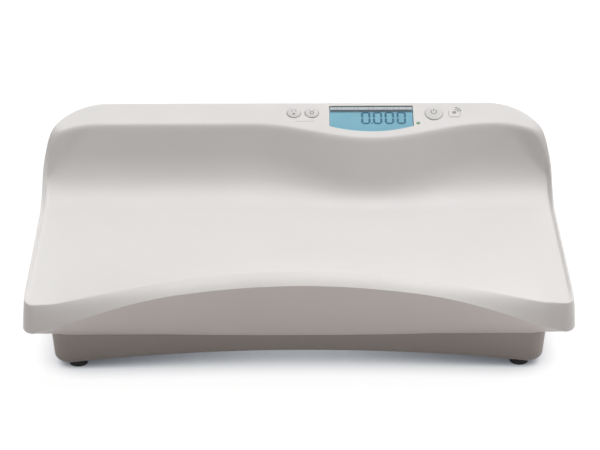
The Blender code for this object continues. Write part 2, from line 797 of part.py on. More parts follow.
def board_hole_places():
    reach_x = BOARD_WIDTH / 2 - BOARD_HOLE_INSET
    reach_y = BOARD_DEPTH / 2 - BOARD_HOLE_INSET
    return [(BOARD_X + a * reach_x, BOARD_Y + b * reach_y) for a in (-1, 1) for b in (-1, 1)]


# Battery bay
BAY_WIDTH = BATTERY_COLUMNS * 2 * BATTERY_RADIUS + (BATTERY_COLUMNS + 1) * BATTERY_GAP
BATTERY_PITCH_Y = BATTERY_LENGTH + BATTERY_BUTTON_HEIGHT + BATTERY_GAP
CONTACT_SPACE = FIT_GAP + CONTACT_THICKNESS + CONTACT_BUMP + FIT_GAP
BAY_LENGTH = BATTERY_ROWS * BATTERY_PITCH_Y + 2 * CONTACT_SPACE
BAY_REAR = PAN_REAR - BAY_REAR_INSET
BAY_FRONT = BAY_REAR - BAY_LENGTH
BAY_FLOOR = float(pan_bottom(0.0))
DOOR_BOTTOM = BAY_FLOOR
DOOR_TOP = DOOR_BOTTOM + DOOR_THICKNESS
BLOCK_TOP = BAY_FLOOR + BAY_BLOCK_HEIGHT
BATTERY_Z = DOOR_TOP + BATTERY_GAP + BATTERY_RADIUS
BAY_TOP = BATTERY_Z + BATTERY_RADIUS + BATTERY_GAP
DOOR_HALF = BAY_WIDTH / 2 + DOOR_MARGIN
DOOR_FRONT = BAY_FRONT - DOOR_MARGIN
TONGUE_LOW = DOOR_BOTTOM + (DOOR_THICKNESS - DOOR_TONGUE_THICKNESS) / 2
TONGUE_HIGH = TONGUE_LOW + DOOR_TONGUE_THICKNESS


def bay_block():
    half = DOOR_HALF + DOOR_TONGUE + BAY_BLOCK_MARGIN - DOOR_MARGIN
    low = (-half, DOOR_FRONT - BAY_BLOCK_MARGIN + DOOR_MARGIN, BAY_FLOOR + PAN_WALL / 2)
    return box(low, (half, PAN_REAR - PAN_TAPER - PAN_WALL, BLOCK_TOP))


def bay_cuts():
    """The bay's hole, and under it the door's slot with its two side grooves, open to the rear."""
    past_rear = PAN_REAR + CUT
    hole = box((-BAY_WIDTH / 2, BAY_FRONT, DOOR_TOP - CUT), (BAY_WIDTH / 2, BAY_REAR, BLOCK_TOP + CUT))
    half = DOOR_HALF + FIT_GAP
    slot = box((-half, DOOR_FRONT - FIT_GAP, BAY_FLOOR - CUT * 2), (half, past_rear, DOOR_TOP + FIT_GAP))
    wide = half + DOOR_TONGUE
    groove = box((-wide, DOOR_FRONT - FIT_GAP / 2, TONGUE_LOW - FIT_GAP),
                 (wide, past_rear + CUT, TONGUE_HIGH + FIT_GAP))
    return hole, slot, groove


def make_pan(looks):
    pan = add_object("bottom_housing", *pan_solid(), looks["pan"])
    solid = [bay_block()]
    for x, y in tower_places():
        solid.append(rod(TOWER_RADIUS, float(pan_bottom(x)) + PAN_WALL / 2, TOWER_TOP, ROUND_SIDES, (x, y)))
    for x, y in board_hole_places():
        solid.append(rod(STANDOFF_RADIUS, float(pan_bottom(x)) + PAN_WALL / 2, BOARD_HEIGHT - FIT_GAP,
                         SMALL_SIDES, (x, y)))
    for corner in FEET:
        x, y = cell_fixed_place(corner)
        half_x = CELL_BEAM_WIDTH / 2
        half_y = CELL_BOSS_LENGTH / 2
        base = float(pan_bottom(abs(x) - half_x)) + PAN_WALL / 2
        seat = CELL_BEAM_HEIGHT - FIT_GAP
        solid.append(box((x - half_x, y - half_y, base), (x + half_x, y + half_y, seat)))
    cut_or_join(pan, "UNION", "pan_bosses", solid)
    hole, slot, groove = bay_cuts()
    cut_or_join(pan, "DIFFERENCE", "battery_hole", [hole])
    cut_or_join(pan, "DIFFERENCE", "door_slot", [slot])
    cut_or_join(pan, "DIFFERENCE", "door_grooves", [groove])
    holes = []
    for x, y in tower_places():
        floor = float(pan_bottom(x))
        seat = floor + SCREW_SEAT
        shank = SCREW_SHANK_RADIUS + SCREW_CLEARANCE
        head = SCREW_HEAD_RADIUS + SCREW_CLEARANCE
        profile = [(0, floor - CUT), (head, floor - CUT), (head, seat), (shank, seat),
                   (shank, TOWER_TOP + CUT), (0, TOWER_TOP + CUT)]
        holes.append(turned(profile, ROUND_SIDES, (x, y)))
    for x, y in board_hole_places():
        depth = BOARD_HEIGHT - BOARD_SCREW_LENGTH
        holes.append(rod(BOARD_SCREW_RADIUS + FIT_GAP, depth, BOARD_HEIGHT + CUT, SMALL_SIDES, (x, y)))
    for corner in FEET:
        x, y = foot_place(corner)
        floor = float(pan_bottom(x))
        holes.append(rod(STUD_RADIUS + FOOT_HOLE_CLEARANCE, floor - CUT, floor + PAN_WALL + CUT,
                         ROUND_SIDES, (x, y)))
        x, y = cell_fixed_place(corner)
        depth = CELL_BEAM_HEIGHT - BOARD_SCREW_LENGTH
        holes.append(rod(SCREW_SHANK_RADIUS + FIT_GAP, depth, CELL_BEAM_HEIGHT + CUT, SMALL_SIDES, (x, y)))
    verts, faces = rod(SOCKET_NOSE_RADIUS + FIT_GAP, 0.0, PAN_TAPER + 2 * PAN_WALL + CUT, ROUND_SIDES)
    turned_back = [(SOCKET_X + x, PAN_REAR + CUT - z, SOCKET_HEIGHT + y) for x, y, z in verts]
    holes.append((turned_back, faces))
    cut_or_join(pan, "DIFFERENCE", "pan_holes", holes)
    return pan


def make_skirt(looks):
    return add_object("skirt_shell", *skirt_solid(), looks["skirt"])


# Panel frame and the outlines of its openings

def panel_frame():
    """An empty on the panel's rear edge, tilted with the panel."""
    frame = bpy.data.objects.new("panel_frame", None)
    bpy.context.scene.collection.objects.link(frame)
    frame.location = (0.0, REAR, PANEL_REAR_Z)
    frame.rotation_euler = (PANEL, 0.0, 0.0)
    return frame


def window_outline(margin, top):
    """The display window: square above, with a bowed lower edge, grown by margin at sides and bottom."""
    half = WINDOW_WIDTH / 2
    bow = WINDOW_MIDDLE_END - WINDOW_SIDE_END
    radius = (half**2 + bow**2) / (2 * bow)
    reach = math.asin(half / radius)
    center_y = -WINDOW_MIDDLE_END + radius
    steps = 12
    lower = []
    for k in range(steps + 1):
        turn = -reach + 2 * reach * k / steps
        grown = radius + margin
        lower.append((WINDOW_X + grown * math.sin(turn), center_y - grown * math.cos(turn)))
    left = (WINDOW_X - half - margin, lower[0][1])
    right = (WINDOW_X + half + margin, lower[-1][1])
    lower[0] = left
    lower[-1] = right
    return lower + [(right[0], -top), (left[0], -top)]


def keys():
    """Each key's name, place on the panel and radius."""
    return (
        ("hold_key", HOLD_KEY_X, KEY_SLOPE, KEY_RADIUS),
        ("tare_key", TARE_KEY_X, KEY_SLOPE, KEY_RADIUS),
        ("power_key", POWER_KEY_X, POWER_KEY_SLOPE, POWER_KEY_RADIUS),
    )


WINDOW_FLANGE_TOP = -TRAY_WALL - FIT_GAP
BEZEL_HIGH = WINDOW_FLANGE_TOP - WINDOW_FLANGE_THICKNESS - FIT_GAP
BEZEL_LOW = BEZEL_HIGH - BEZEL_DEPTH
DISPLAY_BOARD_HIGH = BEZEL_LOW - FIT_GAP
DISPLAY_BOARD_LOW = DISPLAY_BOARD_HIGH - DISPLAY_BOARD_THICKNESS
KEY_FLANGE_TOP = -TRAY_WALL - FIT_GAP
KEY_FLANGE_LOW = KEY_FLANGE_TOP - KEY_FLANGE_THICKNESS
KEY_STEM_LOW = KEY_FLANGE_LOW - KEY_STEM_LENGTH
MAT_TOP = KEY_STEM_LOW - KEY_TRAVEL - FIT_GAP
MAT_BASE_LOW = DISPLAY_BOARD_HIGH + FIT_GAP
MAT_BASE_TOP = MAT_BASE_LOW + MAT_BASE_THICKNESS


def display_post_places():
    y = -DISPLAY_POST_SLOPE
    return [(DISPLAY_BOARD_LEFT + DISPLAY_POST_INSET, y), (DISPLAY_BOARD_RIGHT - DISPLAY_POST_INSET, y)]


def post_top(x, y):
    """A post ends inside the tray's wall even where the wall is steep."""
    turns = [2 * math.pi * k / SMALL_SIDES for k in range(SMALL_SIDES)]
    near_x = np.array([x + POST_RADIUS * math.cos(turn) for turn in turns])
    near_y = np.array([y + POST_RADIUS * math.sin(turn) for turn in turns])
    return float(under_z(near_x, near_y).min()) + TRAY_WALL / 2


def make_tray(looks, frame):
    tray = add_object("tray_shell", *tray_solid(), looks["tray"])
    posts = []
    for x, y in tower_places():
        top = post_top(x, y)
        posts.append(rod(POST_RADIUS, TOWER_TOP + FIT_GAP, top, ROUND_SIDES, (x, y)))
    cut_or_join(tray, "UNION", "tray_posts", posts)
    panel_posts = []
    for x, y in display_post_places():
        panel_posts.append(rod(DISPLAY_POST_RADIUS, DISPLAY_BOARD_HIGH + FIT_GAP, -TRAY_WALL / 2,
                               SMALL_SIDES, (x, y)))
    guide = cut_or_join(tray, "UNION", "display_posts", panel_posts)
    guide.parent = frame
    bores = []
    for x, y in tower_places():
        low = TOWER_TOP + FIT_GAP - CUT
        high = float(pan_bottom(x)) + SCREW_SEAT + screw_length(x) + SCREW_CLEARANCE
        bores.append(rod(SCREW_SHANK_RADIUS + FIT_GAP, low, high, SMALL_SIDES, (x, y)))
    cut_or_join(tray, "DIFFERENCE", "post_bores", bores)
    openings = [prism(window_outline(FIT_GAP, WINDOW_TOP - FIT_GAP), -TRAY_WALL - WINDOW_CUT_BACK, CUT)]
    for _, x, slope, radius in keys():
        openings.append(rod(radius + FIT_GAP, -TRAY_WALL - WINDOW_CUT_BACK, CUT, ROUND_SIDES, (x, -slope)))
    openings.append(rod(LIGHT_RADIUS + FIT_GAP, -TRAY_WALL - WINDOW_CUT_BACK, CUT, SMALL_SIDES,
                        (LIGHT_X, -LIGHT_SLOPE)))
    for x, y in display_post_places():
        openings.append(rod(BOARD_SCREW_RADIUS + FIT_GAP, DISPLAY_BOARD_HIGH - CUT,
                            DISPLAY_BOARD_HIGH + DISPLAY_SCREW_LENGTH - DISPLAY_BOARD_THICKNESS,
                            SMALL_SIDES, (x, y)))
    guide = cut_or_join(tray, "DIFFERENCE", "panel_openings", openings)
    guide.parent = frame
    return tray


# Display stack

def make_display(looks, frame):
    body = prism(window_outline(0.0, WINDOW_TOP), WINDOW_FLANGE_TOP - WINDOW_FLANGE_THICKNESS, -FIT_GAP)
    window = add_object("display_window", *body, looks["window"], frame)
    flange = prism(window_outline(WINDOW_FLANGE, WINDOW_TOP + WINDOW_CUT_BACK),
                   WINDOW_FLANGE_TOP - WINDOW_FLANGE_THICKNESS, WINDOW_FLANGE_TOP)
    cut_or_join(window, "UNION", "window_flange", [flange])

    half = WINDOW_WIDTH / 2 + BEZEL_MARGIN
    left = WINDOW_X - half
    right = WINDOW_X + half
    outside = box((left, -BEZEL_END, BEZEL_LOW), (right, -BEZEL_TOP, BEZEL_HIGH))
    bezel = add_object("display_bezel", *outside, looks["frame"], frame)
    inside = box((left + BEZEL_RIM, -BEZEL_END + BEZEL_RIM, BEZEL_LOW - CUT),
                 (right - BEZEL_RIM, -BEZEL_TOP - BEZEL_RIM, BEZEL_HIGH + CUT))
    cut_or_join(bezel, "DIFFERENCE", "bezel_hole", [inside])

    rim = BEZEL_RIM + FIT_GAP
    lcd_top = BEZEL_HIGH
    lcd_low = lcd_top - LCD_THICKNESS
    add_object("lcd_panel",
               *box((left + rim, -BEZEL_END + rim, lcd_low), (right - rim, -BEZEL_TOP - rim, lcd_top)),
               looks["lcd"], frame)
    glow_top = lcd_low - FIT_GAP
    glow_low = glow_top - BACKLIGHT_THICKNESS
    add_object("backlight",
               *box((left + rim, -BEZEL_END + rim, glow_low), (right - rim, -BEZEL_TOP - rim, glow_top)),
               looks["glow"], frame)
    add_object("display_board",
               *box((DISPLAY_BOARD_LEFT, -DISPLAY_BOARD_END, DISPLAY_BOARD_LOW),
                    (DISPLAY_BOARD_RIGHT, -DISPLAY_BOARD_TOP, DISPLAY_BOARD_HIGH)),
               looks["board"], frame)
    holes = [rod(BOARD_SCREW_RADIUS + FIT_GAP, DISPLAY_BOARD_LOW - CUT, DISPLAY_BOARD_HIGH + CUT,
                 SMALL_SIDES, place)
             for place in display_post_places()]
    cut_or_join(bpy.data.objects["display_board"], "DIFFERENCE", "display_board_holes", holes)
    for number, place in enumerate(display_post_places(), 1):
        solid = screw_solid(BOARD_SCREW_HEAD_RADIUS, BOARD_SCREW_HEAD_HEIGHT, BOARD_SCREW_RADIUS,
                            DISPLAY_SCREW_LENGTH, DISPLAY_BOARD_LOW - FIT_GAP, place)
        add_object(f"display_screw_{number}", *solid, looks["steel"], frame)


def make_keys(looks, frame):
    for name, x, slope, radius in keys():
        seat = bpy.data.objects.new(f"{name}_axis", None)
        bpy.context.scene.collection.objects.link(seat)
        seat.parent = frame
        seat.location = (x, -slope, 0.0)
        flange = radius + KEY_FLANGE
        profile = [(0, KEY_STEM_LOW), (KEY_STEM_RADIUS, KEY_STEM_LOW), (KEY_STEM_RADIUS, KEY_FLANGE_LOW),
                   (flange, KEY_FLANGE_LOW), (flange, KEY_FLANGE_TOP), (radius, KEY_FLANGE_TOP),
                   (radius, KEY_PROUD), (radius * 0.94, KEY_PROUD + KEY_CROWN * 0.55),
                   (radius * 0.60, KEY_PROUD + KEY_CROWN * 0.92), (0, KEY_PROUD + KEY_CROWN)]
        add_object(name, *turned(profile, ROUND_SIDES), looks["key"], seat)


def mat_solid(places):
    """A silicone mat: a base on the display board with a dome under each key."""
    xs = [x for x, _, _ in places]
    reach = max(radius for _, _, radius in places) + MAT_MARGIN
    slope = places[0][1]
    low_y = -slope - reach
    high_y = min(-slope + reach, -DISPLAY_BOARD_TOP)
    base = box((min(xs) - reach, low_y, MAT_BASE_LOW), (max(xs) + reach, high_y, MAT_BASE_TOP))
    root = MAT_BASE_TOP - MAT_BASE_THICKNESS / 2
    domes = [turned([(0, root), (radius * 0.6, root), (radius * 0.6, MAT_BASE_TOP),
                     (KEY_STEM_RADIUS, MAT_TOP), (0, MAT_TOP)],
                    SMALL_SIDES, (x, -slope)) for x, _, radius in places]
    return base, domes


def make_mats(looks, frame):
    left = [(x, slope, radius) for name, x, slope, radius in keys() if name != "power_key"]
    right = [(x, slope, radius) for name, x, slope, radius in keys() if name == "power_key"]
    for name, places in (("key_mat", left), ("power_key_mat", right)):
        base, domes = mat_solid(places)
        mat = add_object(name, *base, looks["mat"], frame)
        cut_or_join(mat, "UNION", f"{name}_domes", domes)


def make_light(looks, frame):
    low = DISPLAY_BOARD_HIGH + FIT_GAP
    profile = [(0, low), (LIGHT_FOOT_RADIUS, low), (LIGHT_FOOT_RADIUS, low + LIGHT_FOOT_HEIGHT),
               (LIGHT_RADIUS, low + LIGHT_FOOT_HEIGHT), (LIGHT_RADIUS, FIT_GAP), (0, FIT_GAP)]
    add_object("mains_light", *turned(profile, SMALL_SIDES, (LIGHT_X, -LIGHT_SLOPE)), looks["light"], frame)


# Screws

def screw_solid(head_radius, head_height, shank_radius, length, seat, center):
    """A pan-head screw that points up, its head's upper face at seat."""
    head_low = seat - head_height
    profile = [(0, head_low), (head_radius * 0.7, head_low), (head_radius, seat - head_height * 0.55),
               (head_radius, seat), (shank_radius, seat), (shank_radius, seat + length), (0, seat + length)]
    return turned(profile, SMALL_SIDES, center)


def screw_down(head_radius, head_height, shank_radius, length, seat, center):
    """The same screw pointing down, its head's lower face at seat."""
    profile = [(0, seat - length), (shank_radius, seat - length), (shank_radius, seat), (head_radius, seat),
               (head_radius, seat + head_height * 0.55), (head_radius * 0.7, seat + head_height),
               (0, seat + head_height)]
    return turned(profile, SMALL_SIDES, center)


def screw_length(x):
    """Each housing screw reaches the same distance into its post."""
    return TOWER_TOP + SCREW_BITE - float(pan_bottom(x)) - SCREW_SEAT


def make_housing_screws(looks):
    for number, (x, y) in enumerate(tower_places(), 1):
        seat = float(pan_bottom(x)) + SCREW_SEAT - FIT_GAP
        solid = screw_solid(SCREW_HEAD_RADIUS, SCREW_HEAD_HEIGHT, SCREW_SHANK_RADIUS, screw_length(x),
                            seat, (x, y))
        add_object(f"housing_screw_{number}", *solid, looks["steel"])


# Feet and load cells

def make_foot(corner, looks):
    x, y = foot_place(corner)
    axis = bpy.data.objects.new(f"foot_{corner}_axis", None)
    bpy.context.scene.collection.objects.link(axis)
    axis.location = (x, y, 0.0)
    socket = STUD_RADIUS + FIT_GAP
    floor = FOOT_SOCKET_FLOOR
    pad = [(0, 0), (FOOT_RADIUS - FOOT_SOLE_CHAMFER, 0), (FOOT_RADIUS, FOOT_SOLE_CHAMFER),
           (FOOT_RADIUS, FOOT_HEIGHT - FOOT_SOLE_CHAMFER), (FOOT_RADIUS - FOOT_SOLE_CHAMFER, FOOT_HEIGHT),
           (socket, FOOT_HEIGHT), (socket, floor), (0, floor)]
    add_object(f"foot_pad_{corner}", *turned(pad, ROUND_SIDES), looks["rubber"], axis)
    low = floor + FIT_GAP
    high = low + STUD_LENGTH
    stud = [(0, low), (STUD_RADIUS - STUD_CHAMFER, low), (STUD_RADIUS, low + STUD_CHAMFER),
            (STUD_RADIUS, high - STUD_CHAMFER), (STUD_RADIUS - STUD_CHAMFER, high), (0, high)]
    add_object(f"foot_stud_{corner}", *turned(stud, ROUND_SIDES), looks["steel"], axis)


def make_load_cell(corner, looks):
    """A bending beam: waisted in the middle, screwed down at one end, the foot's stud in the other."""
    x, y = foot_place(corner)
    inward = -FEET[corner][1]
    half = CELL_BEAM_WIDTH / 2
    waist = half - CELL_WAIST_DEPTH
    near = -CELL_BEAM_END
    far = CELL_BEAM_LENGTH - CELL_BEAM_END
    mid = (near + far) / 2
    along = [near, mid - CELL_WAIST_LENGTH / 2, mid - CELL_WAIST_LENGTH / 4,
             mid + CELL_WAIST_LENGTH / 4, mid + CELL_WAIST_LENGTH / 2, far]
    widths = [half, half, waist, waist, half, half]
    outline = [(x + w, y + inward * a) for a, w in zip(along, widths)]
    outline += [(x - w, y + inward * a) for a, w in reversed(list(zip(along, widths)))]
    if inward < 0:
        outline = outline[::-1]
    high = CELL_BEAM_HEIGHT + CELL_BEAM_THICKNESS
    cell = add_object(f"load_cell_{corner}", *prism(outline, CELL_BEAM_HEIGHT, high), looks["aluminium"])
    fixed = cell_fixed_place(corner)
    holes = [rod(STUD_RADIUS + FIT_GAP, CELL_BEAM_HEIGHT - CUT, high + CUT, ROUND_SIDES, (x, y)),
             rod(SCREW_SHANK_RADIUS + FIT_GAP, CELL_BEAM_HEIGHT - CUT, high + CUT, SMALL_SIDES, fixed)]
    cut_or_join(cell, "DIFFERENCE", f"load_cell_{corner}_holes", holes)
    length = CELL_BEAM_THICKNESS + BOARD_SCREW_LENGTH - CUT / 2
    seat = high + FIT_GAP
    solid = screw_down(SCREW_HEAD_RADIUS, SCREW_HEAD_HEIGHT, SCREW_SHANK_RADIUS, length, seat, fixed)
    add_object(f"cell_screw_{corner}", *solid, looks["steel"])


# Batteries, their tray, contacts and door

def make_batteries(looks):
    wall = BAY_WALL
    seat = BLOCK_TOP + FIT_GAP
    half = BAY_WIDTH / 2
    outer = box((-half - wall, BAY_FRONT - wall, seat), (half + wall, BAY_REAR + wall, BAY_TOP + wall))
    tub = add_object("battery_tray", *outer, looks["pan"])
    cut_or_join(tub, "DIFFERENCE", "battery_tray_hollow",
                [box((-half, BAY_FRONT, seat - CUT), (half, BAY_REAR, BAY_TOP))])
    pitch = 2 * BATTERY_RADIUS + BATTERY_GAP
    number = 0
    for row in range(BATTERY_ROWS):
        y = BAY_FRONT + CONTACT_SPACE + row * BATTERY_PITCH_Y
        for column in range(BATTERY_COLUMNS):
            number += 1
            x = (column - (BATTERY_COLUMNS - 1) / 2) * pitch
            end = BATTERY_LENGTH
            tip = end + BATTERY_BUTTON_HEIGHT
            profile = [(0, 0), (BATTERY_RADIUS, 0), (BATTERY_RADIUS, end), (BATTERY_BUTTON_RADIUS, end),
                       (BATTERY_BUTTON_RADIUS, tip), (0, tip)]
            verts, faces = turned(profile, BATTERY_SIDES)
            laid = [(x + a, y + c, BATTERY_Z - b) for a, b, c in verts]
            add_object(f"battery_{number}", laid, faces, looks["battery"])
    low = BATTERY_Z - CONTACT_HEIGHT / 2
    high = low + CONTACT_HEIGHT
    for name, wall_y, inward in (("contact_front", BAY_FRONT, 1), ("contact_rear", BAY_REAR, -1)):
        near = wall_y + inward * FIT_GAP
        face = near + inward * CONTACT_THICKNESS
        tip = face + inward * CONTACT_BUMP
        edge = [(-half + BATTERY_GAP, near), (half - BATTERY_GAP, near), (half - BATTERY_GAP, face)]
        for column in reversed(range(BATTERY_COLUMNS)):
            x = (column - (BATTERY_COLUMNS - 1) / 2) * pitch
            w = CONTACT_BUMP_WIDTH / 2
            edge += [(x + w, face), (x + w / 2, tip), (x - w / 2, tip), (x - w, face)]
        edge.append((-half + BATTERY_GAP, face))
        if inward < 0:
            edge = edge[::-1]
        add_object(name, *prism(edge, low, high), looks["steel"])


def make_door(looks):
    rear = PAN_REAR - PAN_TAPER
    body = box((-DOOR_HALF, DOOR_FRONT, DOOR_BOTTOM), (DOOR_HALF, rear, DOOR_TOP))
    door = add_object("battery_door", *body, looks["pan"])
    wide = DOOR_HALF + DOOR_TONGUE
    tongue = box((-wide, DOOR_FRONT + FIT_GAP, TONGUE_LOW), (wide, rear - PAN_FILLET, TONGUE_HIGH))
    cut_or_join(door, "UNION", "door_tongues", [tongue])
    grooves = []
    for k in range(DOOR_GRIP_COUNT):
        y = rear - PAN_FILLET - k * DOOR_GRIP_PITCH
        grooves.append(box((-DOOR_GRIP_WIDTH / 2, y - DOOR_GRIP_PITCH / 4, DOOR_BOTTOM - CUT),
                           (DOOR_GRIP_WIDTH / 2, y + DOOR_GRIP_PITCH / 4, DOOR_BOTTOM + DOOR_GRIP_DEPTH)))
    cut_or_join(door, "DIFFERENCE", "door_grip", grooves)


# Main board and power socket

def make_main_board(looks):
    low = BOARD_HEIGHT
    high = low + BOARD_THICKNESS
    half_x = BOARD_WIDTH / 2
    half_y = BOARD_DEPTH / 2
    sheet = box((BOARD_X - half_x, BOARD_Y - half_y, low), (BOARD_X + half_x, BOARD_Y + half_y, high))
    board = add_object("main_board", *sheet, looks["board"])
    holes = [rod(BOARD_SCREW_RADIUS + FIT_GAP, low - CUT, high + CUT, SMALL_SIDES, place)
             for place in board_hole_places()]
    cut_or_join(board, "DIFFERENCE", "main_board_holes", holes)
    for number, place in enumerate(board_hole_places(), 1):
        solid = screw_down(BOARD_SCREW_HEAD_RADIUS, BOARD_SCREW_HEAD_HEIGHT, BOARD_SCREW_RADIUS,
                           BOARD_SCREW_LENGTH, high + FIT_GAP, place)
        add_object(f"board_screw_{number}", *solid, looks["steel"])
    can = box((BOARD_X - CAN_WIDTH / 2, BOARD_Y - CAN_DEPTH / 2, high + FIT_GAP),
              (BOARD_X + CAN_WIDTH / 2, BOARD_Y + CAN_DEPTH / 2, high + FIT_GAP + CAN_HEIGHT))
    add_object("shield_can", *can, looks["steel"])


def make_socket(looks):
    """A barrel socket: a block behind the wall, a round nose through it, and a pin in its bore."""
    wall_face = PAN_REAR - PAN_TAPER * 0.6
    nose_end = wall_face - SOCKET_NOSE_SINK
    block_face = PAN_REAR - PAN_TAPER - 2 * PAN_WALL
    half = SOCKET_WIDTH / 2
    body = box((SOCKET_X - half, block_face - SOCKET_DEPTH, SOCKET_HEIGHT - SOCKET_BODY_HEIGHT / 2),
               (SOCKET_X + half, block_face, SOCKET_HEIGHT + SOCKET_BODY_HEIGHT / 2))
    socket = add_object("power_socket", *body, looks["socket"])

    def laid(piece):
        """Turns a solid about the vertical axis so that it points to the rear."""
        verts, faces = piece
        return [(SOCKET_X + x, y_up, SOCKET_HEIGHT + y) for x, y, y_up in verts], [f[::-1] for f in faces]

    nose = rod(SOCKET_NOSE_RADIUS, block_face - CUT, nose_end, ROUND_SIDES)
    cut_or_join(socket, "UNION", "socket_nose", [laid(nose)])
    bottom = nose_end - SOCKET_BORE_DEPTH
    bore = [(0, nose_end - CUT), (SOCKET_PIN_RADIUS, nose_end - CUT), (SOCKET_PIN_RADIUS, bottom),
            (SOCKET_BORE_RADIUS, bottom), (SOCKET_BORE_RADIUS, nose_end + CUT), (0, nose_end + CUT)]
    cut_or_join(socket, "DIFFERENCE", "socket_bore", [laid(turned(bore, ROUND_SIDES))])


# Cables held inside the housing

def smooth_points(route, count):
    """Points at even steps on a smooth curve through the route's own points."""
    route = [Vector(p) for p in route]
    padded = [route[0] * 2 - route[1]] + route + [route[-1] * 2 - route[-2]]
    dense = []
    for i in range(len(route) - 1):
        p0, p1, p2, p3 = padded[i:i + 4]
        for k in range(10):
            t = k / 10
            dense.append(0.5 * ((2 * p1) + (p2 - p0) * t + (2 * p0 - 5 * p1 + 4 * p2 - p3) * t**2
                                + (3 * p1 - p0 - 3 * p2 + p3) * t**3))
    dense.append(route[-1])
    lengths = [0.0]
    for a, b in zip(dense, dense[1:]):
        lengths.append(lengths[-1] + (b - a).length)
    points = []
    for k in range(count):
        want = lengths[-1] * k / (count - 1)
        i = max(j for j, length in enumerate(lengths) if length <= want + 1e-12)
        if i >= len(dense) - 1:
            points.append(dense[-1])
        else:
            share = (want - lengths[i]) / (lengths[i + 1] - lengths[i])
            points.append(dense[i].lerp(dense[i + 1], share))
    return points


def make_cell_lead(corner, looks):
    """A thin lead from the load cell's screwed end to the near side of the main board.

    The two on the left pass in front of the battery bay."""
    x, y = cell_fixed_place(corner)
    side, end = FEET[corner]
    start_z = CELL_BEAM_HEIGHT + CELL_BEAM_THICKNESS / 2
    start_x = x - side * (CELL_BEAM_WIDTH / 2 + FIT_GAP)
    board_z = BOARD_HEIGHT + BOARD_THICKNESS / 2
    board_side = BOARD_X + side * (BOARD_WIDTH / 2 + FIT_GAP)
    board_y = BOARD_Y - BOARD_DEPTH / 4 + end * CELL_LEAD_SPACING / 2
    lane_y = BAY_FRONT - CELL_LANE_INSET - CELL_LANE_SPACING * (1 - end) / 2
    span = board_side - start_x
    if side < 0:
        passing = [(start_x + span * 0.40, lane_y, board_z), (start_x + span * 0.86, lane_y, board_z),
                   (board_side - CELL_LEAD_END, board_y, board_z)]
    else:
        passing = [(start_x + span * 0.45, board_y, board_z), (board_side - span * 0.1, board_y, board_z)]
    route = [(start_x, y, start_z), (start_x + span * 0.05, y, start_z), *passing,
             (board_side, board_y, board_z)]
    curve = bpy.data.curves.new(f"cell_lead_{corner}", "CURVE")
    curve.dimensions = "3D"
    curve.bevel_depth = CELL_LEAD_RADIUS
    curve.bevel_resolution = 1
    curve.use_fill_caps = True
    spline = curve.splines.new("POLY")
    points = smooth_points(route, 12)
    spline.points.add(len(points) - 1)
    for point, place in zip(spline.points, points):
        point.co = (*place, 1.0)
    lead = bpy.data.objects.new(f"cell_lead_{corner}", curve)
    bpy.context.scene.collection.objects.link(lead)
    curve.materials.append(looks["wire"])


def make_ribbon(looks):
    """A flat cable from the main board up behind the trough to the display board."""
    end_y = REAR - RIBBON_END_SLOPE * math.cos(PANEL)
    end_z = PANEL_REAR_Z - RIBBON_END_SLOPE * math.sin(PANEL)
    depth = -DISPLAY_BOARD_LOW + FIT_GAP
    end_y += depth * math.sin(PANEL)
    end_z -= depth * math.cos(PANEL)
    start_y = BOARD_Y + BOARD_DEPTH / 2 + FIT_GAP
    start_z = BOARD_HEIGHT + BOARD_THICKNESS / 2
    rear = REAR - PARTING_REAR_INSET - SKIRT_FLANGE - RIBBON_WIDTH / 2
    route = [(0, start_y, start_z), (0, (start_y + rear) / 2, start_z + RIBBON_WIDTH / 2),
             (0, rear, PARTING_HEIGHT + RIBBON_WIDTH),
             (0, end_y - RIBBON_THICKNESS, (PARTING_HEIGHT + end_z) / 2), (0, end_y, end_z)]
    path = smooth_points(route, RIBBON_POINTS)
    verts = []
    for i, point in enumerate(path):
        ahead = path[min(i + 1, len(path) - 1)]
        behind = path[max(i - 1, 0)]
        way = (ahead - behind).normalized()
        side = Vector((0, -way.z, way.y)) * (RIBBON_THICKNESS / 2)
        for x, offset in ((-1, -1), (1, -1), (1, 1), (-1, 1)):
            verts.append(tuple(Vector((RIBBON_X + x * RIBBON_WIDTH / 2, 0, 0)) + point + side * offset))
    faces = [(0, 1, 2, 3), tuple(len(verts) - 4 + k for k in (3, 2, 1, 0))]
    for i in range(len(path) - 1):
        a = 4 * i
        for k in range(4):
            n = (k + 1) % 4
            faces.append((a + n, a + k, a + 4 + k, a + 4 + n))
    add_object("ribbon_cable", verts, faces, looks["wire"])


def main():
    for old in list(bpy.data.objects):
        bpy.data.objects.remove(old, do_unlink=True)
    looks = make_materials()
    frame = panel_frame()
    make_tray(looks, frame)
    make_skirt(looks)
    make_pan(looks)
    make_display(looks, frame)
    make_keys(looks, frame)
    make_mats(looks, frame)
    make_light(looks, frame)
    make_housing_screws(looks)
    for corner in FEET:
        make_foot(corner, looks)
        make_load_cell(corner, looks)
        make_cell_lead(corner, looks)
    make_batteries(looks)
    make_door(looks)
    make_main_board(looks)
    make_socket(looks)
    make_ribbon(looks)
    bpy.context.view_layer.update()


main()
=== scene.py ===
"""Finished look of a baby scale over its packed solids: one operator for each piece or group of pieces.

Metres, +Z up. The origin lies under the middle of the scale, level with the soles of its feet, and the
front faces -Y. Pieces of the control panel are drawn in the panel's own frame, whose origin is the
panel's rear edge: x runs along the scale, y up the slope, z out of the panel.
"""

import json
import math

import bpy
import numpy as np
from mathutils import Matrix, Vector


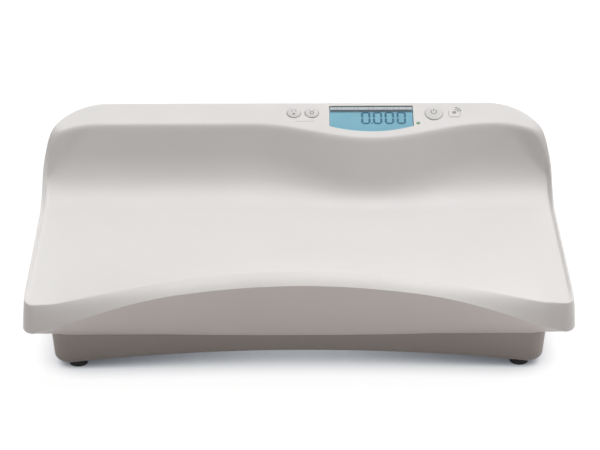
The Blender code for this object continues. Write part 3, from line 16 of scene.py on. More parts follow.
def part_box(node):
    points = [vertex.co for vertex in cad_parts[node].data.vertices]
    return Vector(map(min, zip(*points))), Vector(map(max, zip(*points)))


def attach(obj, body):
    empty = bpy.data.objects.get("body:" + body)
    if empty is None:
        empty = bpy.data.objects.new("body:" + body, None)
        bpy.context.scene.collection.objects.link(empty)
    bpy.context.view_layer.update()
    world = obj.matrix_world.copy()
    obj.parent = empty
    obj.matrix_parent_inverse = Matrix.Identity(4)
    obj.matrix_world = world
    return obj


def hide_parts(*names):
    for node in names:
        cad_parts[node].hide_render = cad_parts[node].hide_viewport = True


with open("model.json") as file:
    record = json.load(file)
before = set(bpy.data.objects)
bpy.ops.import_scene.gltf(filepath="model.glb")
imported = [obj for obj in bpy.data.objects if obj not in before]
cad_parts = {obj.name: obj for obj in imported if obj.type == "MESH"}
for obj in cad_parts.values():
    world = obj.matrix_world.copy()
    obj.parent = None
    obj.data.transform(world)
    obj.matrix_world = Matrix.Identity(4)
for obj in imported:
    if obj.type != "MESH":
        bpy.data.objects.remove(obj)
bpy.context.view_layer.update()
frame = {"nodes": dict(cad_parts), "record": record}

bl_info = {
    "name": "Baby scale",
    "version": (1, 0, 0),
    "blender": (4, 5, 0),
    "location": "3D view, sidebar, Baby scale",
    "description": "Builds the finished look of a baby scale piece by piece",
    "category": "Object",
}

# Overall size, the same as the solids
WIDTH = 0.551
DEPTH = 0.320
HEIGHT = 0.179
FIT_GAP = 0.0003
HALF = WIDTH / 2
FRONT = -DEPTH / 2
REAR = DEPTH / 2

# Trough
FLOOR_FRONT_HEIGHT = 0.0895
FLOOR_SLOPE = math.radians(2.6)
HOLLOW_RADIUS = 0.090
BACK_WALL_DEG = 58.0
TRAY_WALL = 0.003
FRONT_RISE = 0.0388
FRONT_RISE_LENGTH = 0.150
FRONT_RISE_POWER = 1.6
ARCH_POWER = 1.3
ARCH_HALF_WIDTH = 0.245

# Control panel and the swelling that carries the display
PANEL = math.radians(24.0)
PANEL_DEPTH = 0.032
SWELL_X = 0.081
SWELL_HALF_WIDTH = 0.130
SWELL_REACH = 0.0194
SWELL_HOLLOW_RADIUS = 0.050
SWELL_WALL_DEG = 54.0
RIM_CORNER_WIDTH = 0.060
RIM_CORNER_DROP = 0.030
RIM_FADE_WIDTH = 0.024
RIM_BLEND = 0.0036
CORNER_RAMP = 0.004

# Tray edge
REAR_CORNER_RADIUS = 0.068
FRONT_CORNER_RADIUS = 0.013
SIDE_LIP_WIDTH = 0.0035
SIDE_LIP_HEIGHT = 0.003
SIDE_LIP_REAR_EXTRA = 0.006
SIDE_LIP_FRONT_FADE = 0.045
SIDE_LIP_REAR_FADE = 0.055
EDGE_BLEND = 0.012
EDGE_ROUND = 0.0008
EDGE_ROUND_WIDTH = 0.0034
BAND_CORNER_RUN = 0.008
BAND_MIDDLE_RUN = 0.016
BAND_RUN_POWER = 5.0
BAND_SIDE_RUN = 0.0015
BAND_CORNER_DROP = 0.0272
BAND_MIDDLE_DROP = 0.0081
BAND_DROP_SHARES = (0.4356, 0.9619)
BAND_DROP_POWER = 1.95
BAND_REAR_DROP = 0.030
BAND_FOOT = 0.0045
BAND_FLAT = 0.55
BAND_SHARES = (0.12, 0.25, 0.38, 0.50, 0.62, 0.74, 0.84, 0.92, 0.97)
# Inset and height of the rings that round the band's foot
BAND_FOOT_ROUND = ((0.0, 0.0007), (0.0002, 0.0002), (0.0008, 0.0), (BAND_FOOT, 0.0))
LIP_START_SHARE = 1.4
LIP_RISE_SHARE = 1.2
# Limits for the tray's lower face, which lies deeper where the upper one is steep
LEAST_RUN = 1e-5
STEEPEST_DROP_SHARE = 2.4
PANEL_REAR_Z = HEIGHT + BAND_SIDE_RUN * math.tan(PANEL) + EDGE_ROUND

# Skirt and pan
SKIRT_STEP = 0.002
SKIRT_WALL = 0.003
SKIRT_FLANGE = 0.014
SKIRT_EDGE = 0.0005
SKIRT_EDGE_SHARE = 0.3
SKIRT_ROWS = 16
PARTING_HEIGHT = 0.042
PARTING_SIDE_INSET = 0.0222
PARTING_FRONT_INSET = 0.036
PARTING_REAR_INSET = 0.028
PARTING_RADIUS = 0.0212
SKIRT_ROUND_DROP = 0.020
SKIRT_FULL_DROP = 0.070
BELLY_POWER = 2.2
PAN_STEP = 0.0012
PAN_WALL = 0.0028
PAN_TAPER = 0.0025
PAN_FILLET = 0.006
PAN_EDGE = 0.0005
PAN_RADIUS = 0.020
PAN_CLEARANCE = 0.0066
PAN_ARCH_RISE = 0.0132
PAN_ARCH_HALF_WIDTH = 0.232
PAN_HALF = HALF - PARTING_SIDE_INSET - PAN_STEP
PAN_FRONT = FRONT + PARTING_FRONT_INSET + PAN_STEP
PAN_REAR = REAR - PARTING_REAR_INSET - PAN_STEP

# Window and keys on the panel
WINDOW_X = 0.0808
WINDOW_WIDTH = 0.0905
WINDOW_TOP = 0.0072
WINDOW_SIDE_END = 0.0368
WINDOW_MIDDLE_END = 0.0446
WINDOW_CORNER = 0.0012
KEYS = (
    ("hold_key", -0.0034, 0.0170, 0.0075),
    ("tare_key", 0.0161, 0.0170, 0.0075),
    ("power_key", 0.1490, 0.0186, 0.0097),
)
LIGHT_X = 0.1314
LIGHT_SLOPE = 0.0330
LIGHT_RADIUS = 0.0018
OPENING_DEPTH = 0.0052
FEET = ("fl", "fr", "rl", "rr")

# Fineness of the curved mouldings
MIDDLE_STEPS = 84
WINDOW_STEPS = 40
PAN_MIDDLE_STEPS = 24
PAN_CORNER_STEPS = 12
FILLET_STEPS = 6
EDGE_STEPS = 4
CORNER_STEPS = 14
FLOOR_STEPS = 22
HOLLOW_STEPS = 30
RIM_STEPS = 14
LIP_SHARES = (1.4, 1.15, 0.9, 0.65, 0.42, 0.22, 0.08)
FINE_SIDES = 64
SMALL_SIDES = 24
SCREW_SIDES = 32

# How far a cut runs on past what it cuts, and how far an opening's rounded edge runs out above its face
CUT = 0.002
CUT_LIFT = 0.00002


# Sizes and colours that can be changed

def colour_field(name, description, default):
    return bpy.props.FloatVectorProperty(name=name, description=description, default=default,
                                         subtype="COLOR", size=3, min=0.0, max=1.0)


def length_field(name, description, default):
    return bpy.props.FloatProperty(name=name, description=description, default=default,
                                   unit="LENGTH", min=0.0, precision=5)


def number_field(name, description, default):
    return bpy.props.FloatProperty(name=name, description=description, default=default, min=0.0)


def angle_field(name, description, default):
    return bpy.props.FloatProperty(name=name, description=description, default=math.radians(default),
                                   subtype="ANGLE")


class MouldingSettings(bpy.types.PropertyGroup):
    """The three large plastic mouldings."""
    tray_colour: colour_field("Tray", "Colour of the trough and its panel", (0.80, 0.79, 0.78))
    skirt_colour: colour_field("Skirt", "Colour of the shell under the trough", (0.72, 0.695, 0.69))
    pan_colour: colour_field("Pan", "Colour of the base", (0.42, 0.39, 0.375))
    grain_size: length_field("Grain", "Width of the moulded grain", 0.0005)
    grain_depth: length_field("Grain depth", "Height of the moulded grain", 0.00003)
    opening_round: length_field("Opening edge", "Rounding of the panel's openings", 0.0004)


class DisplaySettings(bpy.types.PropertyGroup):
    """The liquid crystal display and the print over it."""
    image_colour: colour_field("Image", "Colour of the display's lit ground", (0.250, 0.600, 0.755))
    digit_colour: colour_field("Digits", "Colour of a switched segment", (0.010, 0.175, 0.300))
    line_colour: colour_field("Lines", "Colour of the two printed lines", (0.135, 0.140, 0.145))
    strip_colour: colour_field("Strip", "Colour of the strip between the lines", (0.66, 0.74, 0.78))
    digit_height: length_field("Digit height", "Height of a digit", 0.0186)
    digit_width: length_field("Digit width", "Width of a digit", 0.0104)
    segment_width: length_field("Segment", "Width of a segment", 0.0025)
    lens_alpha: number_field("Lens veil", "How much the clear lens veils what lies under it", 0.04)


class KeySettings(bpy.types.PropertyGroup):
    """The three keys and the marks printed on the panel."""
    cap_colour: colour_field("Cap", "Colour of the key caps", (0.79, 0.785, 0.78))
    mark_colour: colour_field("Marks", "Colour of the printed marks", (0.33, 0.33, 0.33))
    light_colour: colour_field("Mains light", "Colour of the mains light", (0.035, 0.22, 0.04))
    crown: length_field("Crown", "Rise of a key's middle", 0.0005)
    proud: length_field("Proud", "How far a key's rim stands over the panel", 0.0008)
    mark_thickness: length_field("Ink", "Thickness of the print", 0.00004)


class FootSettings(bpy.types.PropertyGroup):
    """The four screw-in feet."""
    pad_colour: colour_field("Rubber", "Colour of the foot pads", (0.032, 0.032, 0.034))
    thread_pitch: length_field("Thread pitch", "Rise of the thread in one turn", 0.00125)
    thread_depth: length_field("Thread depth", "Depth of the thread", 0.0005)
    rib_depth: length_field("Rib depth", "Depth of the finger ribs round a pad", 0.0003)


class StageSettings(bpy.types.PropertyGroup):
    """Camera, lamps and floor."""
    azimuth: angle_field("Azimuth", "Turn of the camera about the scale", -0.5)
    elevation: angle_field("Elevation", "Height of the camera above the horizon", 25.0)
    distance: length_field("Distance", "From the camera to the point it looks at", 2.4932)
    lens: number_field("Lens", "Focal length in millimetres", 142.98)
    top_lamp: number_field("Top lamp", "Strength of the soft light from above", 1.05)
    rear_lamp: number_field("Rear lamp", "Strength of the soft light from above the rear", 0.36)
    right_lamp: number_field("Right lamp", "Strength of the light from the upper right", 0.56)
    right_fill: number_field("Right fill", "Strength of the broad light from the right of the rear", 0.65)
    left_fill: number_field("Left fill", "Strength of the broad light from the left of the rear", 0.17)
    sky_colour: colour_field("Sky colour", "Colour of the light from all round", (1.0, 0.92, 0.875))
    sky: number_field("Room", "Strength of the light from all round", 0.20)


# Finishes

def finish(name):
    """A new finish: its node tree, its shader and the place on the piece in metres."""
    made = bpy.data.materials.new(name)
    made.use_nodes = True
    tree = made.node_tree
    place = tree.nodes.new("ShaderNodeTexCoord").outputs["Object"]
    return made, tree, tree.nodes["Principled BSDF"], place


def noise(tree, place, size, detail=3.0, stretch=(1.0, 1.0, 1.0)):
    """Cloudy noise whose blobs are about size across, stretched along the axes."""
    scaled = tree.nodes.new("ShaderNodeMapping")
    scaled.inputs["Scale"].default_value = stretch
    tree.links.new(place, scaled.inputs["Vector"])
    made = tree.nodes.new("ShaderNodeTexNoise")
    made.inputs["Scale"].default_value = 1.0 / size
    made.inputs["Detail"].default_value = detail
    tree.links.new(scaled.outputs["Vector"], made.inputs["Vector"])
    return made.outputs["Fac"]


def spread(tree, source, low, high, start=0.3, end=0.7):
    """A value from source, spread between low and high."""
    made = tree.nodes.new("ShaderNodeMapRange")
    made.inputs["From Min"].default_value = start
    made.inputs["From Max"].default_value = end
    made.inputs["To Min"].default_value = low
    made.inputs["To Max"].default_value = high
    tree.links.new(source, made.inputs["Value"])
    return made.outputs["Result"]


def tones(tree, source, *stops):
    """Colours along a ramp, each stop a place and a colour."""
    made = tree.nodes.new("ShaderNodeValToRGB")
    ramp = made.color_ramp
    while len(ramp.elements) < len(stops):
        ramp.elements.new(1.0)
    for element, (at, colour) in zip(ramp.elements, stops):
        element.position = at
        element.color = (*colour, 1.0)
    tree.links.new(source, made.inputs["Fac"])
    return made.outputs["Color"]


def shade(colour, share):
    """A colour made darker or paler, no part of it over one."""
    return tuple(min(1.0, part * share) for part in colour)


def bump(tree, shader, height, depth, strength, before=None):
    """Gives the shader a relief of the given depth, over an earlier one where there is one."""
    made = tree.nodes.new("ShaderNodeBump")
    made.inputs["Distance"].default_value = depth
    made.inputs["Strength"].default_value = strength
    tree.links.new(height, made.inputs["Height"])
    if before is not None:
        tree.links.new(before, made.inputs["Normal"])
    tree.links.new(made.outputs["Normal"], shader.inputs["Normal"])
    return made.outputs["Normal"]


def mottled(tree, shader, source, colour, dark, pale, places=(0.30, 0.70)):
    """Colours the shader from a dark to a pale share of one colour, in the pattern of source."""
    stops = ((places[0], shade(colour, dark)), (places[1], shade(colour, pale)))
    tree.links.new(tones(tree, source, *stops), shader.inputs["Base Color"])


def dulled(tree, shader, source, low, high):
    """Gives the shader a roughness between low and high, in the pattern of source."""
    tree.links.new(spread(tree, source, low, high), shader.inputs["Roughness"])


def moulded_plastic(name, colour, roughness, cloud, grain_size, grain_depth):
    """Spark-eroded plastic: slow clouds of colour, a fine grain, and patches that shine a little more."""
    made, tree, shader, place = finish(name)
    clouds = noise(tree, place, size=0.16, detail=4.0)
    mottled(tree, shader, clouds, colour, dark=1 - cloud, pale=1 + cloud, places=(0.30, 0.72))
    patches = noise(tree, place, size=0.035, detail=5.0)
    dulled(tree, shader, patches, roughness - 0.06, roughness + 0.06)
    sinks = noise(tree, place, size=0.05, detail=1.0)
    waves = bump(tree, shader, sinks, depth=0.00006, strength=0.5)
    grain = noise(tree, place, size=grain_size, detail=2.0)
    bump(tree, shader, grain, depth=grain_depth, strength=0.8, before=waves)
    shader.inputs["IOR"].default_value = 1.50
    return made


def printed_ink(name, colour, roughness=0.55):
    """Pad-printed ink with a faint mottle and a dry, slightly raised surface."""
    made, tree, shader, place = finish(name)
    mottle = noise(tree, place, size=0.0012)
    mottled(tree, shader, mottle, colour, dark=0.92, pale=1.08)
    dulled(tree, shader, mottle, roughness - 0.05, roughness + 0.07)
    bump(tree, shader, noise(tree, place, size=0.0004, detail=2.0), depth=0.00001, strength=0.4)
    shader.inputs["Specular IOR Level"].default_value = 0.15
    return made


def moulded_rubber(name, colour):
    """Matte rubber with a fine pebble and dust that greys it in patches."""
    made, tree, shader, place = finish(name)
    dust = noise(tree, place, size=0.006, detail=5.0)
    mottled(tree, shader, dust, colour, dark=1.0, pale=1.7, places=(0.42, 0.66))
    dulled(tree, shader, dust, 0.70, 0.90)
    bump(tree, shader, noise(tree, place, size=0.0005), depth=0.00006, strength=0.7)
    return made


def plated_steel(name, colour=(0.62, 0.62, 0.63), roughness=0.32):
    """Zinc-plated steel: cloudy plating over fine drawn lines."""
    made, tree, shader, place = finish(name)
    plating = noise(tree, place, size=0.004, detail=4.0)
    mottled(tree, shader, plating, colour, dark=0.88, pale=1.06, places=(0.35, 0.70))
    dulled(tree, shader, plating, roughness - 0.08, roughness + 0.12)
    drawn = noise(tree, place, size=0.0008, detail=2.0, stretch=(1.0, 1.0, 0.08))
    bump(tree, shader, drawn, depth=0.00002, strength=0.5)
    shader.inputs["Metallic"].default_value = 1.0
    return made


def milled_aluminium(name, colour=(0.70, 0.71, 0.72)):
    """Aluminium with straight mill marks along the beam."""
    made, tree, shader, place = finish(name)
    marks = noise(tree, place, size=0.0012, stretch=(1.0, 0.04, 1.0))
    mottled(tree, shader, marks, colour, dark=0.90, pale=1.05, places=(0.30, 0.72))
    dulled(tree, shader, marks, 0.30, 0.46)
    bump(tree, shader, marks, depth=0.00003, strength=0.6)
    shader.inputs["Metallic"].default_value = 1.0
    return made


def circuit_board(name):
    """Green solder mask over copper tracks, which show as paler, slightly raised lines."""
    made, tree, shader, place = finish(name)
    tracks = tree.nodes.new("ShaderNodeTexBrick")
    tracks.inputs["Scale"].default_value = 160.0
    tracks.inputs["Mortar Size"].default_value = 0.035
    tracks.inputs["Color1"].default_value = (0.020, 0.130, 0.050, 1.0)
    tracks.inputs["Color2"].default_value = (0.024, 0.150, 0.060, 1.0)
    tracks.inputs["Mortar"].default_value = (0.060, 0.260, 0.110, 1.0)
    tree.links.new(place, tracks.inputs["Vector"])
    tree.links.new(tracks.outputs["Color"], shader.inputs["Base Color"])
    dulled(tree, shader, noise(tree, place, size=0.01), 0.28, 0.42)
    bump(tree, shader, tracks.outputs["Fac"], depth=0.00004, strength=0.6)
    return made


CELL_LENGTH = 0.0511
SLEEVE_DARK = (0.055, 0.06, 0.075)
SLEEVE_BAND_SHARES = (0.60, 0.62)


def battery_sleeve(name):
    """A shrunk sleeve: dark along most of the cell and a warm metallic band at one end."""
    made, tree, shader, place = finish(name)
    split = tree.nodes.new("ShaderNodeSeparateXYZ")
    tree.links.new(place, split.inputs["Vector"])
    turned_round = tree.nodes.new("ShaderNodeMath")
    turned_round.operation = "PINGPONG"
    turned_round.inputs[1].default_value = CELL_LENGTH
    tree.links.new(split.outputs["Y"], turned_round.inputs[0])
    along = spread(tree, turned_round.outputs["Value"], 0.0, 1.0, start=0.0, end=CELL_LENGTH)
    dark_end, band_start = SLEEVE_BAND_SHARES
    bands = tones(tree, along, (0.0, SLEEVE_DARK), (dark_end, SLEEVE_DARK),
                  (band_start, (0.42, 0.22, 0.09)), (1.0, (0.45, 0.25, 0.10)))
    tree.links.new(bands, shader.inputs["Base Color"])
    wrinkles = noise(tree, place, size=0.003, detail=4.0)
    dulled(tree, shader, wrinkles, 0.26, 0.40)
    bump(tree, shader, wrinkles, depth=0.00008, strength=0.4)
    return made


def soft_silicone(name, colour=(0.45, 0.45, 0.45)):
    """Translucent silicone with a dull, slightly dusty skin."""
    made, tree, shader, place = finish(name)
    skin = noise(tree, place, size=0.004, detail=4.0)
    mottled(tree, shader, skin, colour, dark=0.94, pale=1.05)
    dulled(tree, shader, skin, 0.55, 0.75)
    bump(tree, shader, noise(tree, place, size=0.0008, detail=2.0), depth=0.00003, strength=0.5)
    shader.inputs["Subsurface Weight"].default_value = 0.10
    shader.inputs["Subsurface Scale"].default_value = 0.002
    return made


def wire_jacket(name, colour=(0.30, 0.30, 0.31)):
    """Extruded jacket with faint lengthways lines."""
    made, tree, shader, place = finish(name)
    lines = noise(tree, place, size=0.0009, detail=2.0, stretch=(0.1, 1.0, 1.0))
    mottled(tree, shader, lines, colour, dark=0.90, pale=1.10)
    dulled(tree, shader, lines, 0.45, 0.62)
    bump(tree, shader, lines, depth=0.00004, strength=0.5)
    return made


def clear_lens(name, veil):
    """Clear acrylic: a thin veil over what lies under it, with hairline wiping marks in its gloss."""
    made, tree, shader, place = finish(name)
    wipes = noise(tree, place, size=0.002, stretch=(0.15, 1.0, 1.0))
    tint = tones(tree, wipes, (0.2, (0.86, 0.90, 0.92)), (0.8, (0.92, 0.95, 0.97)))
    tree.links.new(tint, shader.inputs["Base Color"])
    dulled(tree, shader, wipes, 0.16, 0.26)
    shader.inputs["IOR"].default_value = 1.49
    shader.inputs["Specular IOR Level"].default_value = 0.3
    shader.inputs["Alpha"].default_value = veil
    return made


def display_ground(name, colour):
    """The lit ground of the liquid crystal: slow clouds over an even colour, with a fine cell grain."""
    made, tree, shader, place = finish(name)
    clouds = noise(tree, place, size=0.03, detail=2.0)
    mottled(tree, shader, clouds, colour, dark=0.96, pale=1.04)
    grain = noise(tree, place, size=0.0003, detail=1.0)
    dulled(tree, shader, grain, 0.50, 0.62)
    bump(tree, shader, grain, depth=0.000004, strength=0.3)
    shader.inputs["Specular IOR Level"].default_value = 0.08
    return made


def tinted_light(name, colour):
    """A green lens, deep in the middle, with a painted sheen that pales it towards its edges seen side on."""
    made, tree, shader, place = finish(name)
    edge = tree.nodes.new("ShaderNodeLayerWeight")
    edge.inputs["Blend"].default_value = 0.35
    # Painted sheen: the colour pales from the lens's own green to 2.2 times it where the skin turns side on
    mottled(tree, shader, edge.outputs["Facing"], colour, dark=1.0, pale=2.2, places=(0.0, 1.0))
    dulled(tree, shader, noise(tree, place, size=0.0006, detail=2.0), 0.14, 0.24)
    shader.inputs["Coat Weight"].default_value = 0.3
    return made


def finish_of(slot):
    """The finish for one of the record's material slots, made once."""
    name = f"{slot}_finish"
    known = bpy.data.materials.get(name)
    if known is not None:
        return known
    scene = bpy.context.scene
    mouldings = scene.scale_mouldings
    display = scene.scale_display
    keys = scene.scale_keys

    def plastic(colour, roughness, cloud, coarser=1.0, deeper=1.0):
        return moulded_plastic(name, tuple(colour), roughness, cloud,
                               mouldings.grain_size * coarser, mouldings.grain_depth * deeper)

    makers = {
        "tray_white": lambda: plastic(mouldings.tray_colour, roughness=0.34, cloud=0.012),
        "skirt_white": lambda: plastic(mouldings.skirt_colour, roughness=0.54, cloud=0.015),
        "pan_grey": lambda: plastic(mouldings.pan_colour, roughness=0.58, cloud=0.03,
                                    coarser=1.4, deeper=1.6),
        "key_white": lambda: plastic(keys.cap_colour, roughness=0.50, cloud=0.01),
        "display_frame_grey": lambda: plastic((0.30, 0.32, 0.34), roughness=0.55, cloud=0.03),
        "backlight_white": lambda: plastic((0.85, 0.90, 0.92), roughness=0.40, cloud=0.01),
        "socket_black": lambda: plastic((0.022, 0.022, 0.023), roughness=0.42, cloud=0.10),
        "window_clear": lambda: clear_lens(name, display.lens_alpha),
        "lcd_blue": lambda: display_ground(name, tuple(display.image_colour)),
        "mains_green": lambda: tinted_light(name, tuple(keys.light_colour)),
        "board_green": lambda: circuit_board(name),
        "zinc_steel": lambda: plated_steel(name),
        "cell_aluminium": lambda: milled_aluminium(name),
        "silicone_grey": lambda: soft_silicone(name),
        "foot_rubber": lambda: moulded_rubber(name, tuple(scene.scale_feet.pad_colour)),
        "wire_grey": lambda: wire_jacket(name),
        "battery_sleeve": lambda: battery_sleeve(name),
    }
    return makers[slot]()


def ink(name, colour):
    """The ink of that name, made once."""
    return bpy.data.materials.get(name) or printed_ink(name, tuple(colour))


# Meshes

PANEL_FRAME = Matrix.Translation((0.0, REAR, PANEL_REAR_Z)) @ Matrix.Rotation(PANEL, 4, "X")
SHARP_DEG = 32.0
BEVEL_STEPS = 3
# A ring on the axis of a turned solid keeps all its points, this far from the axis
AXIS_RADIUS = 1e-6


def placed(name, solid):
    """A new object in the scene with the solid as its mesh."""
    verts, faces = solid
    mesh = bpy.data.meshes.new(name)
    mesh.from_pydata([tuple(float(c) for c in v) for v in verts], [], [tuple(f) for f in faces])
    made = bpy.data.objects.new(name, mesh)
    bpy.context.scene.collection.objects.link(made)
    return made


def add_piece(name, solid, body, slot, nodes=(), look=None, on_panel=False, sharp_deg=SHARP_DEG,
              cutters=(), bevel=0.0):
    """One piece of the look: meshed, cut, rounded, shaded, finished and riding on its body."""
    made = placed(name, solid)
    for operation, pieces in cutters:
        carve(made, operation, pieces)
    if bevel:
        edge = made.modifiers.new("edge", "BEVEL")
        edge.width = bevel
        edge.segments = BEVEL_STEPS
        edge.limit_method = "ANGLE"
        edge.angle_limit = math.radians(sharp_deg)
        settle(made)
    if on_panel:
        made.data.transform(PANEL_FRAME)
    made.data.shade_smooth()
    made.data.set_sharp_from_angle(angle=math.radians(sharp_deg))
    if cutters:
        even = made.modifiers.new("even_shading", "WEIGHTED_NORMAL")
        even.keep_sharp = True
    made.data.materials.clear()
    made.data.materials.append(look or finish_of(slot))
    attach(made, body)
    if nodes:
        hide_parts(*nodes)


def add_print(name, solids, body, slot, ink_name, colour):
    """One printed piece on the panel, in an ink of its own."""
    add_piece(name, joined(*solids), body, slot, on_panel=True, look=ink(ink_name, colour))


def settle(made):
    """Bakes a piece's modifiers into its mesh."""
    bpy.context.view_layer.update()
    shaped = bpy.data.meshes.new_from_object(made.evaluated_get(bpy.context.evaluated_depsgraph_get()))
    if not shaped.polygons:
        raise RuntimeError(f"{made.name} lost its faces while it was shaped")
    made.modifiers.clear()
    made.data = shaped


def carve(made, operation, pieces):
    """Joins pieces to a piece, or cuts them out of it."""
    cutter = placed("cutter", joined(*pieces))
    step = made.modifiers.new("step", "BOOLEAN")
    step.operation = operation
    step.solver = "EXACT"
    step.use_self = len(pieces) > 1
    step.object = cutter
    settle(made)
    bpy.data.objects.remove(cutter)


def joined(*pieces):
    """Several solids as one."""
    verts = []
    faces = []
    for piece_verts, piece_faces in pieces:
        start = len(verts)
        verts.extend(piece_verts)
        faces.extend([tuple(start + i for i in face) for face in piece_faces])
    return verts, faces


def loft(rings):
    """A closed solid over rings of equal length, from its lowest cap to its highest."""
    n = len(rings[0])
    verts = [tuple(v) for ring in rings for v in ring]
    faces = [tuple(reversed(range(n)))]
    for r in range(len(rings) - 1):
        low = r * n
        faces += [(low + i, low + (i + 1) % n, low + n + (i + 1) % n, low + n + i) for i in range(n)]
    faces.append(tuple(range((len(rings) - 1) * n, len(rings) * n)))
    return verts, faces


def at_height(outline, z):
    """A flat outline's points, all at one height."""
    return [(x, y, z) for x, y in outline]


def prism(outline, low, high):
    """An outline raised from low to high."""
    return loft([at_height(outline, low), at_height(outline, high)])


def box(low, high):
    """A box between two opposite corners."""
    outline = [(low[0], low[1]), (high[0], low[1]), (high[0], high[1]), (low[0], high[1])]
    return prism(outline, low[2], high[2])


def circle(radius, sides, center=(0.0, 0.0)):
    """Even points round a circle, anticlockwise."""
    turns = [2 * math.pi * k / sides for k in range(sides)]
    return [(center[0] + radius * math.cos(t), center[1] + radius * math.sin(t)) for t in turns]


def turned(profile, sides, center=(0.0, 0.0)):
    """A closed turned solid from its lowest axis point up its outside to its highest."""
    return loft([at_height(circle(max(radius, AXIS_RADIUS), sides, center), z) for radius, z in profile])


def quarter_turns(steps):
    """Even angles from nought to a quarter turn."""
    return [math.pi / 2 * k / steps for k in range(steps + 1)]


CURVE_STEPS = 4
MOST_REACH_SHARE = 0.45


def curved_corner(before, corner, after, reach):
    """Points of a curve that replaces a corner, from reach before it to reach after it."""
    a, b, c = Vector(before), Vector(corner), Vector(after)
    start = b + (a - b).normalized() * reach
    end = b + (c - b).normalized() * reach
    shares = [k / CURVE_STEPS for k in range(CURVE_STEPS + 1)]
    return [tuple(start.lerp(b, share).lerp(b.lerp(end, share), share)) for share in shares]


def rounded(profile, radius):
    """A profile whose inner corners are rounded."""
    made = [profile[0]]
    for before, at, after in zip(profile, profile[1:], profile[2:]):
        shorter = min((Vector(before) - Vector(at)).length, (Vector(after) - Vector(at)).length)
        made += curved_corner(before, at, after, min(radius, shorter * MOST_REACH_SHARE))
    made.append(profile[-1])
    return made


# Tray surface, the same forms as the solids with their edges rounded

def soft_step(t):
    """Nought to one, level at both ends."""
    t = np.clip(t, 0.0, 1.0)
    return t * t * (3 - 2 * t)


def soft_min(a, b, blend):
    """The smaller of two heights, rounded over where they meet."""
    near = np.maximum(blend - np.abs(a - b), 0)
    return np.minimum(a, b) - near**2 / (4 * blend)


def swell(x):
    """Share of the swelling that carries the display, at x."""
    return 0.5 * (1 + np.cos(np.pi * np.clip((x - SWELL_X) / SWELL_HALF_WIDTH, -1, 1)))


def arch(x):
    """Share of the front edge's rise, at x."""
    return (1 - np.clip(x / ARCH_HALF_WIDTH, -1, 1) ** 2) ** ARCH_POWER


def panel_z(y):
    """Height of the panel's plane."""
    return PANEL_REAR_Z - (REAR - y) * math.tan(PANEL)


def hollow(x):
    """Start and end of the round hollow at x, its radius and centre, and the wall's slope and top."""
    grown = swell(x)
    top_y = REAR - PANEL_DEPTH - SWELL_REACH * grown
    top_z = panel_z(top_y)
    wall = np.radians(BACK_WALL_DEG + (SWELL_WALL_DEG - BACK_WALL_DEG) * grown)
    radius = HOLLOW_RADIUS + (SWELL_HOLLOW_RADIUS - HOLLOW_RADIUS) * grown
    lift = FLOOR_FRONT_HEIGHT - FRONT * math.tan(FLOOR_SLOPE)
    cross_y = (lift - top_z + top_y * np.tan(wall)) / (np.tan(wall) - math.tan(FLOOR_SLOPE))
    tangent = radius * np.tan((wall - FLOOR_SLOPE) / 2)
    start = cross_y - tangent * math.cos(FLOOR_SLOPE)
    end = cross_y + tangent * np.cos(wall)
    center_y = start - radius * math.sin(FLOOR_SLOPE)
    center_z = lift + start * math.tan(FLOOR_SLOPE) + radius * math.cos(FLOOR_SLOPE)
    return start, end, radius, center_y, center_z, wall, top_y, top_z


def trough_z(x, y):
    """Height of the floor, the hollow and the back wall."""
    start, end, radius, center_y, center_z, wall, top_y, top_z = hollow(x)
    floor = FLOOR_FRONT_HEIGHT + (y - FRONT) * math.tan(FLOOR_SLOPE)
    steep = top_z + (y - top_y) * np.tan(wall)
    round_part = center_z - np.sqrt(np.maximum(radius**2 - (y - center_y) ** 2, 0))
    z = np.where(y < start, floor, np.where(y > end, steep, round_part))
    toward_front = np.clip((FRONT + FRONT_RISE_LENGTH - y) / FRONT_RISE_LENGTH, 0, 1)
    return z + FRONT_RISE * arch(x) * toward_front**FRONT_RISE_POWER


def rim_inner(x):
    """Where the panel's inner edge lies at x."""
    corner_run = RIM_CORNER_WIDTH - SIDE_LIP_WIDTH
    across = np.clip((np.abs(x) - (HALF - RIM_CORNER_WIDTH)) / corner_run, 0, 1)
    return REAR - PANEL_DEPTH - SWELL_REACH * swell(x) - RIM_CORNER_DROP * (1 - np.sqrt(1 - across**2))


def edge_z(y):
    """Height of the tray's outer edge along its sides."""
    front_fade = soft_step((y - FRONT) / SIDE_LIP_FRONT_FADE)
    rear_fade = soft_step((y - (rim_inner(HALF) - SIDE_LIP_REAR_FADE)) / SIDE_LIP_REAR_FADE)
    side = trough_z(HALF, y) + SIDE_LIP_HEIGHT * front_fade + SIDE_LIP_REAR_EXTRA * rear_fade
    level = np.where(y > 0, panel_z(y), side + EDGE_BLEND)
    return soft_min(side, level, EDGE_BLEND)


def rim_z(x, y):
    """Height of the panel, which falls to the side lip at its ends."""
    fade = soft_step((np.abs(x) - (HALF - RIM_FADE_WIDTH)) / (RIM_FADE_WIDTH - SIDE_LIP_WIDTH))
    return panel_z(y) + (edge_z(y) - panel_z(y)) * fade


def tray_z(x, y):
    """The trough, rounded over into the panel and up into the side lip."""
    inner = rim_inner(x)
    step = np.maximum(rim_z(x, inner) - trough_z(x, inner), 0)
    ramp = CORNER_RAMP + step
    lifted = trough_z(x, y) + step * soft_step((y - inner + ramp) / ramp)
    z = np.where(y > inner - ramp - 2 * RIM_BLEND, soft_min(lifted, rim_z(x, y), RIM_BLEND), lifted)
    lip_start = HALF - BAND_SIDE_RUN - LIP_START_SHARE * SIDE_LIP_WIDTH
    lip = soft_step((np.abs(x) - lip_start) / (LIP_RISE_SHARE * SIDE_LIP_WIDTH))
    return z + (edge_z(y) - z) * lip


